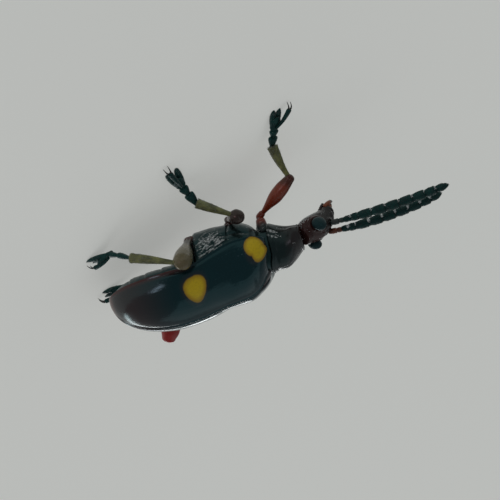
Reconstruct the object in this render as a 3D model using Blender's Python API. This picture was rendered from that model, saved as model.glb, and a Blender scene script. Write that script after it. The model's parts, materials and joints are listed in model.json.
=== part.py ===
"""A two-spotted lily leaf beetle, life size, standing on its six feet.

Sizes are written in millimetres and become metres where a mesh is made.
+X points to the head, +Y to the beetle's left and +Z up; the floor is z = 0.
The hind body (elytra, hind thorax, abdomen) is drawn in its own frame:
t runs forward along its axis from the tip of the elytra, y to the left and
n towards the back of the beetle.
"""
import math

import bmesh
import bpy
from mathutils import Matrix, Vector

MM = 0.001
NAME = "lily_leaf_beetle"

# Where the middle of the whole model lies in the drawing's own x and y
MODEL_MIDDLE = (2.90, -0.15)

# Gap kept between neighbouring pieces
GAP = 0.06
TRUNK_GAP = 0.08

# Hind body: the tip of the elytra, the pitch of its axis and its roll
TIP = Vector((-3.80, 0.0, 1.07))
BODY_PITCH = 21.0
BODY_ROLL = 4.0
ELYTRON_LENGTH = 6.70
ELYTRON_HALF_WIDTH = 1.97
ELYTRON_TOP = 1.75
ELYTRON_WALL = 0.42
ELYTRON_RIM = 0.24
SHOULDER_FALL = 0.46
SHOULDER_MARGIN = 0.60
BASE_PULL = 0.18
BASE_HALF_WIDTH = 1.22
SCUTELLUM_LENGTH = 0.62
SCUTELLUM_HALF_WIDTH = 0.26
ABDOMEN_START = 0.34
ABDOMEN_DEPTH = 0.62
STERNITES = 5
STERNITE_STEP = 0.05
THORAX_EXTRA_DEPTH = 1.18
THORAX_START = 3.85
THORAX_END = 6.62

# Pronotum, drawn in the hind body's frame
PRONOTUM_START = 6.60
PRONOTUM_BASE = 6.78
PRONOTUM_LOBE = 0.16
PRONOTUM_END = 8.10
PRONOTUM_HALF_WIDTH = 0.97

# Head: neck joint, where it faces, and its sizes
NECK = Vector((4.20, -0.03, 3.35))
HEAD_YAW = -18.0
HEAD_PITCH = -25.0
HEAD_LENGTH = 1.50
NECK_LENGTH = 0.25
EYE_FORWARD = 0.28
EYE_SIDE = 0.70
EYE_HEIGHT = 0.36
EYE_RADII = (0.29, 0.21, 0.31)

# Mouthparts: base and tip in the head's frame (forward, to one side, up), and widths
LABRUM = ((1.44, 0.0, 0.20), (1.74, 0.0, 0.12))
LABRUM_WIDTH = 0.56
MANDIBLE = ((1.44, 0.18, 0.02), (1.88, 0.10, 0.03))
MANDIBLE_WIDTH = 0.24
PALP = ((1.08, 0.16, -0.10), (1.62, 0.13, -0.17))
PALP_WIDTH = 0.16

# Antennae: each is 11 joints, with their share of its length from root to tip
ANTENNA_BASE = (0.80, 0.33, 0.62)
ANTENNA_WIDTH = 0.42
ANTENNA_JOINTS = (0.075, 0.04, 0.055, 0.06, 0.11, 0.115, 0.115, 0.115, 0.11, 0.095, 0.11)
SCAPE_JOINTS = 2
SLIM_JOINTS = 4
ANTENNA_TIPS = {"left": (9.96, 0.10, 5.11), "right": (9.67, -0.72, 4.90)}
ANTENNA_BOWS = {"left": 0.11, "right": 0.20}

# Legs, in the drawing's millimetres: hip, knee, ankle, root of the two lobes, claws
LEGS = {
    "front_left": ((3.04, 0.62, 1.90), (4.80, 1.65, 1.72), (4.92, 2.40, 0.46), (5.24, 3.06, 0.27),
                   (6.27, 3.98, 0.0)),
    "front_right": ((3.10, -0.62, 1.90), (3.35, -2.50, 1.95), (3.10, -3.62, 0.78), (3.06, -4.25, 0.30),
                    (2.80, -5.45, 0.0)),
    "middle_left": ((1.90, 0.95, 1.40), (2.13, 2.50, 2.22), (1.09, 2.82, 0.90), (0.95, 3.56, 0.38),
                    (0.70, 5.16, 0.0)),
    "middle_right": ((1.90, -0.95, 1.40), (1.75, -2.60, 2.00), (1.25, -3.50, 0.76), (1.08, -4.10, 0.30),
                     (0.62, -5.30, 0.0)),
    "hind_left": ((0.10, 1.20, 1.30), (-0.78, 2.95, 2.78), (-2.27, 2.60, 1.17), (-2.75, 2.33, 0.42),
                  (-3.72, 1.72, 0.0)),
    "hind_right": ((-0.25, -1.10, 1.00), (-2.53, -3.05, 2.49), (-2.10, -1.35, 0.62), (-2.75, -1.36, 0.28),
                   (-4.02, -1.42, 0.0)),
}
LOBE_HEADINGS = {"front_left": 62.0, "front_right": -98.0, "middle_left": 96.0, "middle_right": -112.0,
                 "hind_left": -150.0, "hind_right": -178.0}
FEMUR_WIDTH = {"front": 0.56, "middle": 0.62, "hind": 0.76}
KNEE_REACH = 0.16
TIBIA_WIDTH = 0.45
TARSUS_WIDTH = 0.42
LOBE_SPREAD = 0.18
LOBE_LENGTH = 1.00
LOBE_WIDTH = 0.27
LOBE_DEPTH = 0.24
SOLE_SINK = 0.02
CLAW_LENGTH = 0.26
CLAW_WIDTH = 0.20
COXA_ROOTS = {"front": (2.76, 0.45, 2.62), "middle": (1.85, 0.62, 1.80), "hind": (0.30, 0.50, 1.45)}
COXA_WIDTH = {"front": 0.66, "middle": 0.80, "hind": 0.90}

# Number of facets round the pieces
BODY_SPOKES = 24
LEG_SPOKES = 10


def smooth_step(x):
    """Rise softly from 0 to 1 as x goes from 0 to 1."""
    x = min(max(x, 0.0), 1.0)
    return x * x * (3.0 - 2.0 * x)


def round_end(distance, reach, power=2.0):
    """Quarter of a superellipse: 0 at an end, 1 from reach inwards."""
    u = 1.0 - min(max(distance / reach, 0.0), 1.0)
    return (1.0 - u ** power) ** (1.0 / power)


def turned_frame(yaw, pitch, roll=0.0):
    """Forward, left and up directions after a yaw, a pitch and a roll in degrees."""
    turn = (
        Matrix.Rotation(math.radians(yaw), 3, "Z")
        @ Matrix.Rotation(math.radians(-pitch), 3, "Y")
        @ Matrix.Rotation(math.radians(roll), 3, "X")
    )
    return turn.col[0].copy(), turn.col[1].copy(), turn.col[2].copy()


BODY_AXES = turned_frame(0.0, BODY_PITCH, BODY_ROLL)
HEAD_AXES = turned_frame(HEAD_YAW, HEAD_PITCH)


def in_body(t, y, n):
    """A point of the hind body's frame in the model's frame."""
    forward, left, up = BODY_AXES
    return TIP + forward * t + left * y + up * n


def in_head(f, y, u):
    """A point of the head's frame in the model's frame."""
    forward, left, up = HEAD_AXES
    return NECK + forward * f + left * y + up * u


def material(name, colour, roughness, metallic=0.0):
    """Principled material in one colour."""
    made = bpy.data.materials.new(name)
    made.use_nodes = True
    shader = made.node_tree.nodes["Principled BSDF"]
    shader.inputs["Base Color"].default_value = (*colour, 1.0)
    shader.inputs["Roughness"].default_value = roughness
    shader.inputs["Metallic"].default_value = metallic
    return made


def loft(rings, flat_start=False, flat_end=False):
    """Skin a row of closed rings of equal point count into one closed mesh, in mm."""
    bm = bmesh.new()
    rows = [[bm.verts.new(point) for point in ring] for ring in rings]
    count = len(rings[0])
    for row, following in zip(rows, rows[1:]):
        for k in range(count):
            nxt = (k + 1) % count
            bm.faces.new((row[k], row[nxt], following[nxt], following[k]))
    for row, flat in ((rows[0][::-1], flat_start), (rows[-1], flat_end)):
        if flat:
            bm.faces.new(row)
            continue
        middle = sum((vert.co for vert in row), Vector()) / count
        pole = bm.verts.new(middle)
        for k in range(count):
            bm.faces.new((row[k], row[(k + 1) % count], pole))
    bmesh.ops.recalc_face_normals(bm, faces=bm.faces)
    return bm


def finish(bm, name, skin, collection, root, smooth_angle=40.0):
    """Turn a bmesh in mm into an object whose origin is its root."""
    bmesh.ops.translate(bm, verts=bm.verts, vec=-Vector(root))
    bmesh.ops.scale(bm, verts=bm.verts, vec=(MM, MM, MM))
    mesh = bpy.data.meshes.new(name)
    bm.to_mesh(mesh)
    bm.free()
    mesh.materials.append(skin)
    mesh.shade_smooth()
    mesh.set_sharp_from_angle(angle=math.radians(smooth_angle))
    piece = bpy.data.objects.new(name, mesh)
    piece.location = Vector(root) * MM
    collection.objects.link(piece)
    return piece


def largest_body(mesh):
    """Keep only the largest closed surface of a mesh."""
    bm = bmesh.new()
    bm.from_mesh(mesh)
    bodies = []
    left = set(bm.faces)
    while left:
        body = {left.pop()}
        waiting = list(body)
        while waiting:
            face = waiting.pop()
            for edge in face.edges:
                for other in edge.link_faces:
                    if other in left:
                        left.remove(other)
                        body.add(other)
                        waiting.append(other)
        bodies.append(body)
    bodies.sort(key=lambda body: -sum(face.calc_area() for face in body))
    for body in bodies[1:]:
        bmesh.ops.delete(bm, geom=list(body), context="FACES")
    loose = [vert for vert in bm.verts if not vert.link_faces]
    bmesh.ops.delete(bm, geom=loose, context="VERTS")
    bm.to_mesh(mesh)
    bm.free()


def carve(piece, cutters, *meshes):
    """Cut closed meshes, given in mm, out of a piece and keep its largest body."""
    for bm in meshes:
        tool = finish(bm, f"{piece.name}_cut", piece.data.materials[0], cutters, piece.location / MM)
        tool.hide_render = True
        tool.display_type = "WIRE"
        cut = piece.modifiers.new(tool.name, "BOOLEAN")
        cut.operation = "DIFFERENCE"
        cut.object = tool
    bpy.context.view_layer.update()
    evaluated = piece.evaluated_get(bpy.context.evaluated_depsgraph_get())
    mesh = bpy.data.meshes.new_from_object(evaluated)
    largest_body(mesh)
    piece.modifiers.clear()
    piece.data = mesh
    for tool in list(cutters.objects):
        bpy.data.objects.remove(tool, do_unlink=True)


def arc_ring(centre, side, up, half_width, rise, drop, power=2.0, spokes=BODY_SPOKES):
    """Closed egg-shaped ring: half_width to each side, rise above the centre, drop below."""
    ring = []
    for k in range(spokes):
        angle = 2.0 * math.pi * k / spokes
        c, s = math.cos(angle), math.sin(angle)
        y = half_width * math.copysign(abs(c) ** (2.0 / power), c)
        z = (rise if s > 0 else drop) * math.copysign(abs(s) ** (2.0 / power), s)
        ring.append(centre + side * y + up * z)
    return ring


# The hind body's outline, all as functions of t


def elytron_half_width(t):
    """Half width of both elytra together."""
    rear = round_end(t, 3.0, 2.0)
    front = ELYTRON_LENGTH + 0.06 - t
    shoulder = BASE_HALF_WIDTH + (ELYTRON_HALF_WIDTH - BASE_HALF_WIDTH) * round_end(front, 0.95, 2.2)
    taper = 1.0 - 0.05 * smooth_step((t - 3.2) / 2.6)
    return rear * shoulder * taper


def elytron_margin(t):
    """Height of the lateral margin, which dips below the axis at the shoulder."""
    dip = -SHOULDER_MARGIN * smooth_step((t - 3.3) / 2.35)
    lift = 0.09 * smooth_step(t / 2.5)
    base = 0.05 * smooth_step((t - 6.2) / 0.5)
    return dip + lift + base


def elytron_top(t):
    """Height of the suture."""
    fall = SHOULDER_FALL * smooth_step((t - 2.5) / 4.0)
    dent = 0.04 * math.exp(-(((t - 4.45) / 0.42) ** 2))
    rear = round_end(t, 2.8, 2.15)
    front = 0.30 + 0.70 * round_end(ELYTRON_LENGTH + 0.04 - t, 1.3, 1.7)
    return (ELYTRON_TOP - fall - dent) * rear * front


def shrunk(profile, t, wall):
    """A profile moved inwards by a wall, also at its rounded ends."""
    return min(profile(t - wall), profile(t), profile(t + wall)) - wall


def suture_side(t):
    """Distance of an elytron's inner edge from the middle: it parts round the scutellum."""
    opening = (t - (ELYTRON_LENGTH - SCUTELLUM_LENGTH)) / SCUTELLUM_LENGTH
    return GAP / 2 + (SCUTELLUM_HALF_WIDTH + GAP) * max(opening, 0.0)


def base_pull(t, share):
    """How far the front edge runs back towards the scutellum; share is 1 at the suture, 0 at the margin."""
    return BASE_PULL * smooth_step((t - 5.5) / (ELYTRON_LENGTH - 5.5)) * smooth_step((share - 0.45) / 0.55)


def elytron_ring(t, side, steps=11):
    """Crescent section of one elytron; side is 1 for the left and -1 for the right."""
    margin = elytron_margin(t)
    half_width = elytron_half_width(t)
    rise = elytron_top(t) - margin
    inner_half = max(shrunk(elytron_half_width, t, ELYTRON_RIM), 0.03)
    inner_rise = max(shrunk(elytron_top, t, ELYTRON_WALL) - margin, 0.03)
    edge = suture_side(t)
    outer = []
    inner = []
    for k in range(steps):
        angle = 0.5 * math.pi * k / (steps - 1)
        back = t - base_pull(t, math.cos(angle))
        y = edge + (half_width - edge) * math.sin(angle)
        outer.append((back, side * y, margin + rise * math.cos(angle)))
        y = edge + max(inner_half - edge, 0.02) * math.sin(angle)
        inner.append((back, side * y, margin + inner_rise * math.cos(angle)))
    return [in_body(*point) for point in outer + inner[::-1]]


def spaced(start, end, count):
    """Stations that crowd towards both ends."""
    return [start + (end - start) * 0.5 * (1 - math.cos(math.pi * k / (count - 1))) for k in range(count)]


def underside(t):
    """Height of the lowest line of the abdomen and hind thorax."""
    rear = ABDOMEN_DEPTH * round_end(t - 0.1, 1.4)
    deep = THORAX_EXTRA_DEPTH * smooth_step((t - 2.75) / 1.3)
    front = 0.42 + 0.58 * round_end(THORAX_END - 0.06 - t, 1.1, 2.0)
    return -(rear + deep) * front


def sternite_stations():
    """Two stations for each belly plate and how far the plate stands out at each."""
    end = THORAX_START - GAP / 2
    pitch = (end - ABDOMEN_START) / STERNITES
    stations = []
    for k in range(STERNITES):
        start = ABDOMEN_START + pitch * k
        stations.append((start, STERNITE_STEP))
        stations.append((start + 0.5 * pitch, 0.5 * STERNITE_STEP))
        stations.append((start + 0.98 * pitch, 0.0))
    return stations


def trunk_ring(t, grow=0.0, plate=0.0):
    """Section of the abdomen and hind thorax, which fills the hollow under the elytra."""
    margin = elytron_margin(t)
    half_width = max(shrunk(elytron_half_width, t, ELYTRON_RIM + TRUNK_GAP), 0.05)
    rise = max(shrunk(elytron_top, t, ELYTRON_WALL + TRUNK_GAP) - margin, 0.05)
    drop = margin - underside(t)
    forward, left, up = BODY_AXES
    return arc_ring(in_body(t, 0.0, margin), left, up, half_width + grow, rise + grow, drop + plate + grow)


def pronotum_ring(t, grow=0.0):
    """Section of the pronotum: bell-shaped sides, with a groove before its base."""
    s = min(max((t - PRONOTUM_START) / (PRONOTUM_END - PRONOTUM_START), 0.0), 1.0)
    waist = 0.15 * math.exp(-(((s - 0.50) / 0.24) ** 2))
    half_width = PRONOTUM_HALF_WIDTH * (1.0 - waist - 0.16 * smooth_step((s - 0.70) / 0.3))
    groove = 0.03 * math.exp(-(((s - 0.26) / 0.10) ** 2))
    top = 0.60 - 0.32 * s - 0.44 * smooth_step((s - 0.45) / 0.6) - groove
    bottom = -1.52 + 0.44 * smooth_step(s / 0.9)
    inside = min(t - PRONOTUM_BASE, PRONOTUM_END - t)
    edge = 0.86 + 0.14 * round_end(inside, 0.13)
    middle = 0.5 * (top + bottom)
    half_height = 0.5 * (top - bottom) * edge + grow
    forward, left, up = BODY_AXES
    centre = in_body(t, 0.0, middle)
    ring = arc_ring(centre, left, up, half_width * edge + grow, half_height, half_height, 2.15)
    lobe = PRONOTUM_LOBE * (1.0 - smooth_step((t - PRONOTUM_BASE) / 0.5))
    turns = [2.0 * math.pi * k / len(ring) for k in range(len(ring))]
    shares = [smooth_step(2.0 * math.sin(turn) - 1.0) for turn in turns]
    return [point - forward * (lobe * share) for point, share in zip(ring, shares)]


def pronotum_mesh(grow=0.0):
    """The pronotum, or a larger copy of it that cuts its neighbours clear."""
    rings = [pronotum_ring(t, grow) for t in spaced(PRONOTUM_BASE - grow, PRONOTUM_END + grow, 15)]
    return loft(rings, True, True)


def abdomen_mesh(grow=0.0):
    """The abdomen with its belly plates, or a larger copy of it."""
    rings = [trunk_ring(t, grow, plate) for t, plate in sternite_stations()]
    if grow:
        rings = [trunk_ring(ABDOMEN_START - grow, grow)] + rings + [trunk_ring(THORAX_START + grow, grow)]
    return loft(rings, False, True)


def thorax_mesh(grow=0.0):
    """The hind thorax, or a larger copy of it."""
    rings = [trunk_ring(t, grow) for t in spaced(THORAX_START + GAP / 2 - grow, THORAX_END + grow, 12)]
    return loft(rings, True, True)


def build_hind_body(collection, skins):
    """Abdomen, hind thorax, two elytra and the scutellum."""
    pieces = []
    pieces.append(finish(abdomen_mesh(), "abdomen", skins["underside"], collection, TIP))
    root = in_body(THORAX_START, 0, 0)
    pieces.append(finish(thorax_mesh(), "hind_thorax", skins["underside"], collection, root))
    for side, word in ((1, "left"), (-1, "right")):
        rings = [elytron_ring(t, side) for t in spaced(0.015, ELYTRON_LENGTH, 24)]
        bm = loft(rings, True, True)
        bmesh.ops.triangulate(bm, faces=bm.faces)
        root = in_body(ELYTRON_LENGTH, 0.0, elytron_margin(ELYTRON_LENGTH))
        pieces.append(finish(bm, f"elytron_{word}", skins["elytron"], collection, root))
    rings = []
    for t in spaced(ELYTRON_LENGTH - SCUTELLUM_LENGTH + 0.16, ELYTRON_LENGTH, 6):
        half_width = suture_side(t) - GAP
        top = elytron_top(t) - 0.04
        floor = shrunk(elytron_top, t, ELYTRON_WALL) + GAP
        corners = ((-half_width, top), (-half_width, floor), (half_width, floor), (half_width, top))
        rings.append([in_body(t - base_pull(t, 1.0), y, n) for y, n in corners])
    pieces.append(finish(loft(rings, True, True), "scutellum", skins["pronotum"], collection, rings[0][0]))
    return pieces


def build_pronotum(collection, skins):
    """The pronotum as one piece."""
    return finish(pronotum_mesh(), "pronotum", skins["pronotum"], collection, in_body(PRONOTUM_START, 0, 0))


def ellipsoid(centre, axes, u_segments=10, v_segments=6):
    """Ellipsoid whose half axes are three vectors."""
    bm = bmesh.new()
    bmesh.ops.create_uvsphere(bm, u_segments=u_segments, v_segments=v_segments, radius=1.0)
    place = Matrix.Translation(centre) @ Matrix(axes).transposed().to_4x4()
    bmesh.ops.transform(bm, matrix=place, verts=bm.verts)
    bmesh.ops.recalc_face_normals(bm, faces=bm.faces)
    return bm


def head_ring(f, grow=0.0):
    """Section of the head from the neck (f = 0) to the mouth."""
    s = min(max((f + NECK_LENGTH) / (HEAD_LENGTH + NECK_LENGTH), 0.0), 1.0)
    half_width = 0.50 + 0.20 * math.exp(-(((f - 0.35) / 0.36) ** 2)) - 0.14 * smooth_step((f - 0.6) / 0.9)
    top = 0.40 + 0.26 * smooth_step((f + 0.1) / 0.6) - 0.22 * smooth_step((f - 0.9) / 0.75)
    bottom = -0.48 + 0.42 * smooth_step((f + 0.2) / 1.9)
    edge = 0.80 + 0.20 * round_end(min(s, 1.0 - s), 0.10)
    middle = 0.5 * (top + bottom)
    half_height = 0.5 * (top - bottom) * edge + grow
    forward, left, up = HEAD_AXES
    centre = in_head(f, 0.0, middle)
    return arc_ring(centre, left, up, half_width * edge + grow, half_height, half_height, 2.1)


def head_mesh(grow=0.0):
    """The head without its sockets, or a larger copy of it."""
    rings = [head_ring(f, grow) for f in spaced(-NECK_LENGTH - grow, HEAD_LENGTH + grow, 18)]
    return loft(rings, True, True)


def eye_mesh(side, grow=0.0):
    """Ellipsoid of one compound eye."""
    centre = in_head(EYE_FORWARD, side * EYE_SIDE, EYE_HEIGHT)
    axes = [axis * (radius + grow) for axis, radius in zip(HEAD_AXES, EYE_RADII)]
    return ellipsoid(centre, axes, 16, 10)


def tube(points, widths, depths, up_hint, spokes=LEG_SPOKES, flat_start=True, flat_end=True):
    """Loft along points with a half width and a half depth at each."""
    rings = []
    for k, point in enumerate(points):
        before = points[max(k - 1, 0)]
        after = points[min(k + 1, len(points) - 1)]
        ahead = (after - before).normalized()
        side = up_hint.cross(ahead).normalized()
        up = ahead.cross(side)
        rings.append(arc_ring(point, side, up, widths[k], depths[k], depths[k], 2.0, spokes))
    return loft(rings, flat_start, flat_end)


def segment(start, end, shape, up_hint, flatness=1.0, bow=0.0, count=9, grow=0.0):
    """Tube between two joints; shape gives its width for s from 0 to 1."""
    start, end = Vector(start), Vector(end)
    ahead = (end - start).normalized()
    start = start - ahead * grow
    end = end + ahead * grow
    points = []
    widths = []
    depths = []
    for k in range(count):
        s = 0.5 * (1 - math.cos(math.pi * k / (count - 1)))
        points.append(start.lerp(end, s) + up_hint * (bow * 4.0 * s * (1.0 - s)))
        widths.append(0.5 * shape(s) + grow)
        depths.append(0.5 * shape(s) * flatness + grow)
    return tube(points, widths, depths, up_hint)


def build_head(collection, cutters, skins):
    """Head, eyes and mouthparts."""
    pieces = []
    head = finish(head_mesh(), "head", skins["head"], collection, NECK)
    carve(head, cutters, eye_mesh(1, GAP), eye_mesh(-1, GAP), pronotum_mesh(GAP))
    pieces.append(head)
    for side, word in ((1, "left"), (-1, "right")):
        root = in_head(EYE_FORWARD, side * EYE_SIDE, EYE_HEIGHT)
        pieces.append(finish(eye_mesh(side), f"eye_{word}", skins["eye"], collection, root))
    up = HEAD_AXES[2]
    lip_base = in_head(*LABRUM[0])
    lip_tip = in_head(*LABRUM[1])
    bm = segment(lip_base, lip_tip, lambda s: LABRUM_WIDTH * (1.0 - 0.25 * s), up, 0.45, count=5)
    lip = finish(bm, "labrum", skins["mouth"], collection, lip_base)
    carve(lip, cutters, head_mesh(GAP))
    pieces.append(lip)
    for side, word in ((1, "left"), (-1, "right")):
        for label, ends, width in (("mandible", MANDIBLE, MANDIBLE_WIDTH), ("palp", PALP, PALP_WIDTH)):
            base, tip = (in_head(f, side * y, u) for f, y, u in ends)
            bm = segment(base, tip, lambda s: width * (1.0 - 0.4 * s * s), up, 0.9, count=6)
            piece = finish(bm, f"{label}_{word}", skins["mouth"], collection, base)
            carve(piece, cutters, head_mesh(GAP))
            pieces.append(piece)
    return pieces


def antenna_spine(side, word, s):
    """A point on an antenna's gently bowed middle line."""
    base = in_head(ANTENNA_BASE[0], side * ANTENNA_BASE[1], ANTENNA_BASE[2])
    tip = Vector(ANTENNA_TIPS[word])
    bow = Vector((0.0, 0.0, 4.0 * ANTENNA_BOWS[word] * s * (1.0 - s)))
    return base.lerp(tip, s) + bow


def antenna_part(side, word, first, last):
    """Tube over some of the joints, with a waist between each two."""
    ends = [sum(ANTENNA_JOINTS[:k]) for k in range(len(ANTENNA_JOINTS) + 1)]
    points = []
    widths = []
    for joint in range(first, last):
        size = ANTENNA_WIDTH * (0.80 if joint < SLIM_JOINTS else 1.0)
        for u, share in ((0.04, 0.62), (0.30, 0.86), (0.75, 1.0), (0.96, 0.74)):
            s = ends[joint] + (ends[joint + 1] - ends[joint]) * u
            if joint == len(ANTENNA_JOINTS) - 1 and u > 0.5:
                share *= 0.72
            points.append(antenna_spine(side, word, s))
            widths.append(0.5 * size * share)
    depths = [width * 0.9 for width in widths]
    return tube(points, widths, depths, Vector((0.0, 0.0, 1.0)), 8)


def build_antennae(collection, cutters, skins):
    """Each antenna as its scape and its flagellum."""
    pieces = []
    last_joint = len(ANTENNA_JOINTS)
    parts = (("scape", 0, SCAPE_JOINTS, "mouth"), ("flagellum", SCAPE_JOINTS, last_joint, "antenna"))
    for side, word in ((1, "left"), (-1, "right")):
        for label, first, last, skin in parts:
            root = antenna_spine(side, word, sum(ANTENNA_JOINTS[:first]))
            bm = antenna_part(side, word, first, last)
            piece = finish(bm, f"antenna_{label}_{word}", skins[skin], collection, root)
            if label == "scape":
                carve(piece, cutters, head_mesh(GAP))
            pieces.append(piece)
    return pieces


def femur_shape(width):
    """Spindle that is thickest past its middle."""
    return lambda s: width * (0.62 + 0.38 * math.sin(math.pi * min(max(0.06 + 0.92 * s, 0.0), 1.0)) ** 1.2)


def tibia_shape(s):
    """Slender at the knee, wider at the ankle."""
    return TIBIA_WIDTH * (0.66 + 0.34 * smooth_step(s / 0.75))


def coxa_mesh(pair, side, hip, grow=0.0):
    """Coxa with the trochanter, from inside the thorax to the hip."""
    root = Vector(COXA_ROOTS[pair])
    root.y *= side
    width = COXA_WIDTH[pair]
    ahead = Vector((1.0, 0.0, 0.0))
    return segment(root, hip, lambda s: width * (1.0 - 0.42 * s), ahead, 0.9, count=6, grow=grow)


def foot_meshes(ankle, root, toe, heading):
    """Tarsus: two joints, the two lobes of the third, the claw joint and two claws."""
    up = Vector((0.0, 0.0, 1.0))
    ahead = Vector((math.cos(math.radians(heading)), math.sin(math.radians(heading)), 0.0))
    side = up.cross(ahead)
    waist = ankle.lerp(root, 0.58)
    points = [ankle, ankle.lerp(root, 0.46), waist, root, root + ahead * 0.12 * LOBE_LENGTH]
    widths = [0.5 * TARSUS_WIDTH * share for share in (0.70, 1.0, 0.62, 1.0, 0.70)]
    meshes = [tube(points, widths, [0.8 * width for width in widths], up)]
    for turn in (1, -1):
        along = (ahead + side * (LOBE_SPREAD * turn)).normalized()
        across = up.cross(along)
        reach = along * (0.5 * LOBE_LENGTH)
        reach.z = -0.5 * (SOLE_SINK + root.z)
        centre = root + reach + side * (0.04 * turn)
        axes = (reach * 1.08, across * (0.5 * LOBE_WIDTH), up * (0.5 * LOBE_DEPTH))
        meshes.append(ellipsoid(centre, axes))
    heel = root + ahead * (0.18 * LOBE_LENGTH) + up * 0.06
    wrist = toe + (toe - heel).normalized() * -CLAW_LENGTH * 0.6 + up * (CLAW_WIDTH + 0.02)
    widths = [0.5 * CLAW_WIDTH * share for share in (0.8, 0.9, 1.15)]
    meshes.append(tube([heel, heel.lerp(wrist, 0.5), wrist], widths, widths, up, 8))
    forward = toe - heel
    forward.z = 0.0
    forward.normalize()
    across = up.cross(forward)
    for turn in (1, -1):
        start = wrist - forward * 0.05 + across * (0.25 * CLAW_WIDTH * turn)
        middle = wrist + forward * (0.55 * CLAW_LENGTH) + across * (0.65 * CLAW_WIDTH * turn) - up * 0.02
        end = wrist + forward * (0.85 * CLAW_LENGTH) + across * (0.75 * CLAW_WIDTH * turn)
        end.z = 0.05
        widths = [0.06, 0.055, 0.03]
        meshes.append(tube([start, middle, end], widths, widths, up, 6))
    return meshes


def united(name, meshes, skin, collection, root):
    """Join overlapping closed meshes into one object and cut it level with the floor."""
    parts = bpy.data.collections.new(f"{name}_parts")
    bpy.context.scene.collection.children.link(parts)
    base = finish(meshes[0], name, skin, collection, root)
    for bm in meshes[1:]:
        finish(bm, f"{name}_part", skin, parts, root)
    union = base.modifiers.new("union", "BOOLEAN")
    union.operation = "UNION"
    union.operand_type = "COLLECTION"
    union.collection = parts
    bpy.context.view_layer.update()
    evaluated = base.evaluated_get(bpy.context.evaluated_depsgraph_get())
    mesh = bpy.data.meshes.new_from_object(evaluated)
    base.modifiers.clear()
    for part in list(parts.objects):
        bpy.data.objects.remove(part, do_unlink=True)
    bpy.data.collections.remove(parts)
    base.data = mesh
    largest_body(mesh)
    return base


def set_on_floor(piece):
    """Cut a piece flat where it would reach below the floor."""
    bm = bmesh.new()
    bm.from_mesh(piece.data)
    floor = Vector((0.0, 0.0, -piece.location.z))
    bmesh.ops.bisect_plane(
        bm,
        geom=bm.verts[:] + bm.edges[:] + bm.faces[:],
        dist=1e-8,
        plane_co=floor,
        plane_no=(0.0, 0.0, -1.0),
        clear_outer=True,
    )
    bmesh.ops.holes_fill(bm, edges=[edge for edge in bm.edges if edge.is_boundary])
    bmesh.ops.recalc_face_normals(bm, faces=bm.faces)
    bm.to_mesh(piece.data)
    bm.free()


def trunk_meshes(pair):
    """Larger copies of the trunk pieces that a pair of legs comes near."""
    if pair == "front":
        return pronotum_mesh(GAP), thorax_mesh(GAP)
    return thorax_mesh(GAP), abdomen_mesh(GAP)


def build_leg(name, joints, collection, cutters, skins):
    """Coxa, femur, tibia and tarsus; each is carved clear of the one that carries it."""
    pair, word = name.split("_")
    side = 1 if word == "left" else -1
    hip, knee, ankle, root, toe = (Vector(point) for point in joints)
    thigh = (knee - hip).normalized()
    bend = (knee - hip).cross(ankle - knee).normalized()
    shape = femur_shape(FEMUR_WIDTH[pair])
    knee_end = knee + thigh * KNEE_REACH

    def femur_mesh(grow=0.0):
        return segment(hip, knee_end, shape, bend, grow=grow)

    def tibia_mesh(grow=0.0):
        return segment(knee, ankle, tibia_shape, bend, grow=grow)

    coxa = finish(coxa_mesh(pair, side, hip), f"leg_{name}_coxa", skins["leg"], collection, hip)
    carve(coxa, cutters, *trunk_meshes(pair))
    femur = finish(femur_mesh(), f"leg_{name}_femur", skins["leg"], collection, hip)
    carve(femur, cutters, coxa_mesh(pair, side, hip, GAP), *trunk_meshes(pair))
    tibia = finish(tibia_mesh(), f"leg_{name}_tibia", skins["tibia"], collection, knee)
    carve(tibia, cutters, femur_mesh(GAP))
    foot = foot_meshes(ankle, root, toe, LOBE_HEADINGS[name])
    tarsus = united(f"leg_{name}_tarsus", foot, skins["tarsus"], collection, ankle)
    carve(tarsus, cutters, tibia_mesh(GAP))
    set_on_floor(tarsus)
    return [coxa, femur, tibia, tarsus]


def main():
    for old in list(bpy.data.objects):
        bpy.data.objects.remove(old, do_unlink=True)
    collection = bpy.data.collections.new(NAME)
    cutters = bpy.data.collections.new("cutters")
    bpy.context.scene.collection.children.link(collection)
    bpy.context.scene.collection.children.link(cutters)
    skins = {
        "elytron": material("elytron", (0.005, 0.014, 0.017), 0.2),
        "pronotum": material("pronotum", (0.021, 0.012, 0.012), 0.3),
        "head": material("head", (0.021, 0.012, 0.012), 0.35),
        "underside": material("underside", (0.007, 0.011, 0.010), 0.35),
        "eye": material("eye", (0.004, 0.018, 0.020), 0.3),
        "mouth": material("mouth", (0.12, 0.03, 0.015), 0.4),
        "antenna": material("antenna", (0.005, 0.018, 0.020), 0.5),
        "leg": material("leg", (0.10, 0.02, 0.012), 0.3),
        "tibia": material("tibia", (0.055, 0.052, 0.030), 0.45),
        "tarsus": material("tarsus", (0.005, 0.018, 0.020), 0.5),
    }
    pieces = build_hind_body(collection, skins)
    pronotum = build_pronotum(collection, skins)
    pieces.append(pronotum)
    pieces += build_head(collection, cutters, skins)
    pieces += build_antennae(collection, cutters, skins)
    for name, joints in LEGS.items():
        pieces += build_leg(name, joints, collection, cutters, skins)
    stand = bpy.data.objects.new(NAME, None)
    stand.location = (-MODEL_MIDDLE[0] * MM, -MODEL_MIDDLE[1] * MM, 0.0)
    collection.objects.link(stand)
    for piece in pieces:
        piece.parent = stand


if __name__ == "__main__":
    main()
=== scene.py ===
"""Looks of a two-spotted lily leaf beetle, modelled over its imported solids.

Forms are drawn in millimetres: +X to the head, +Y to the beetle's left, +Z up, floor at 0.
The hind body and the pronotum have their own frame: t runs forward from the tip of the
elytra, y to the left and n towards the back. The head has one too: f forward, y, u up.
"""
import json
import math

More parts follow.
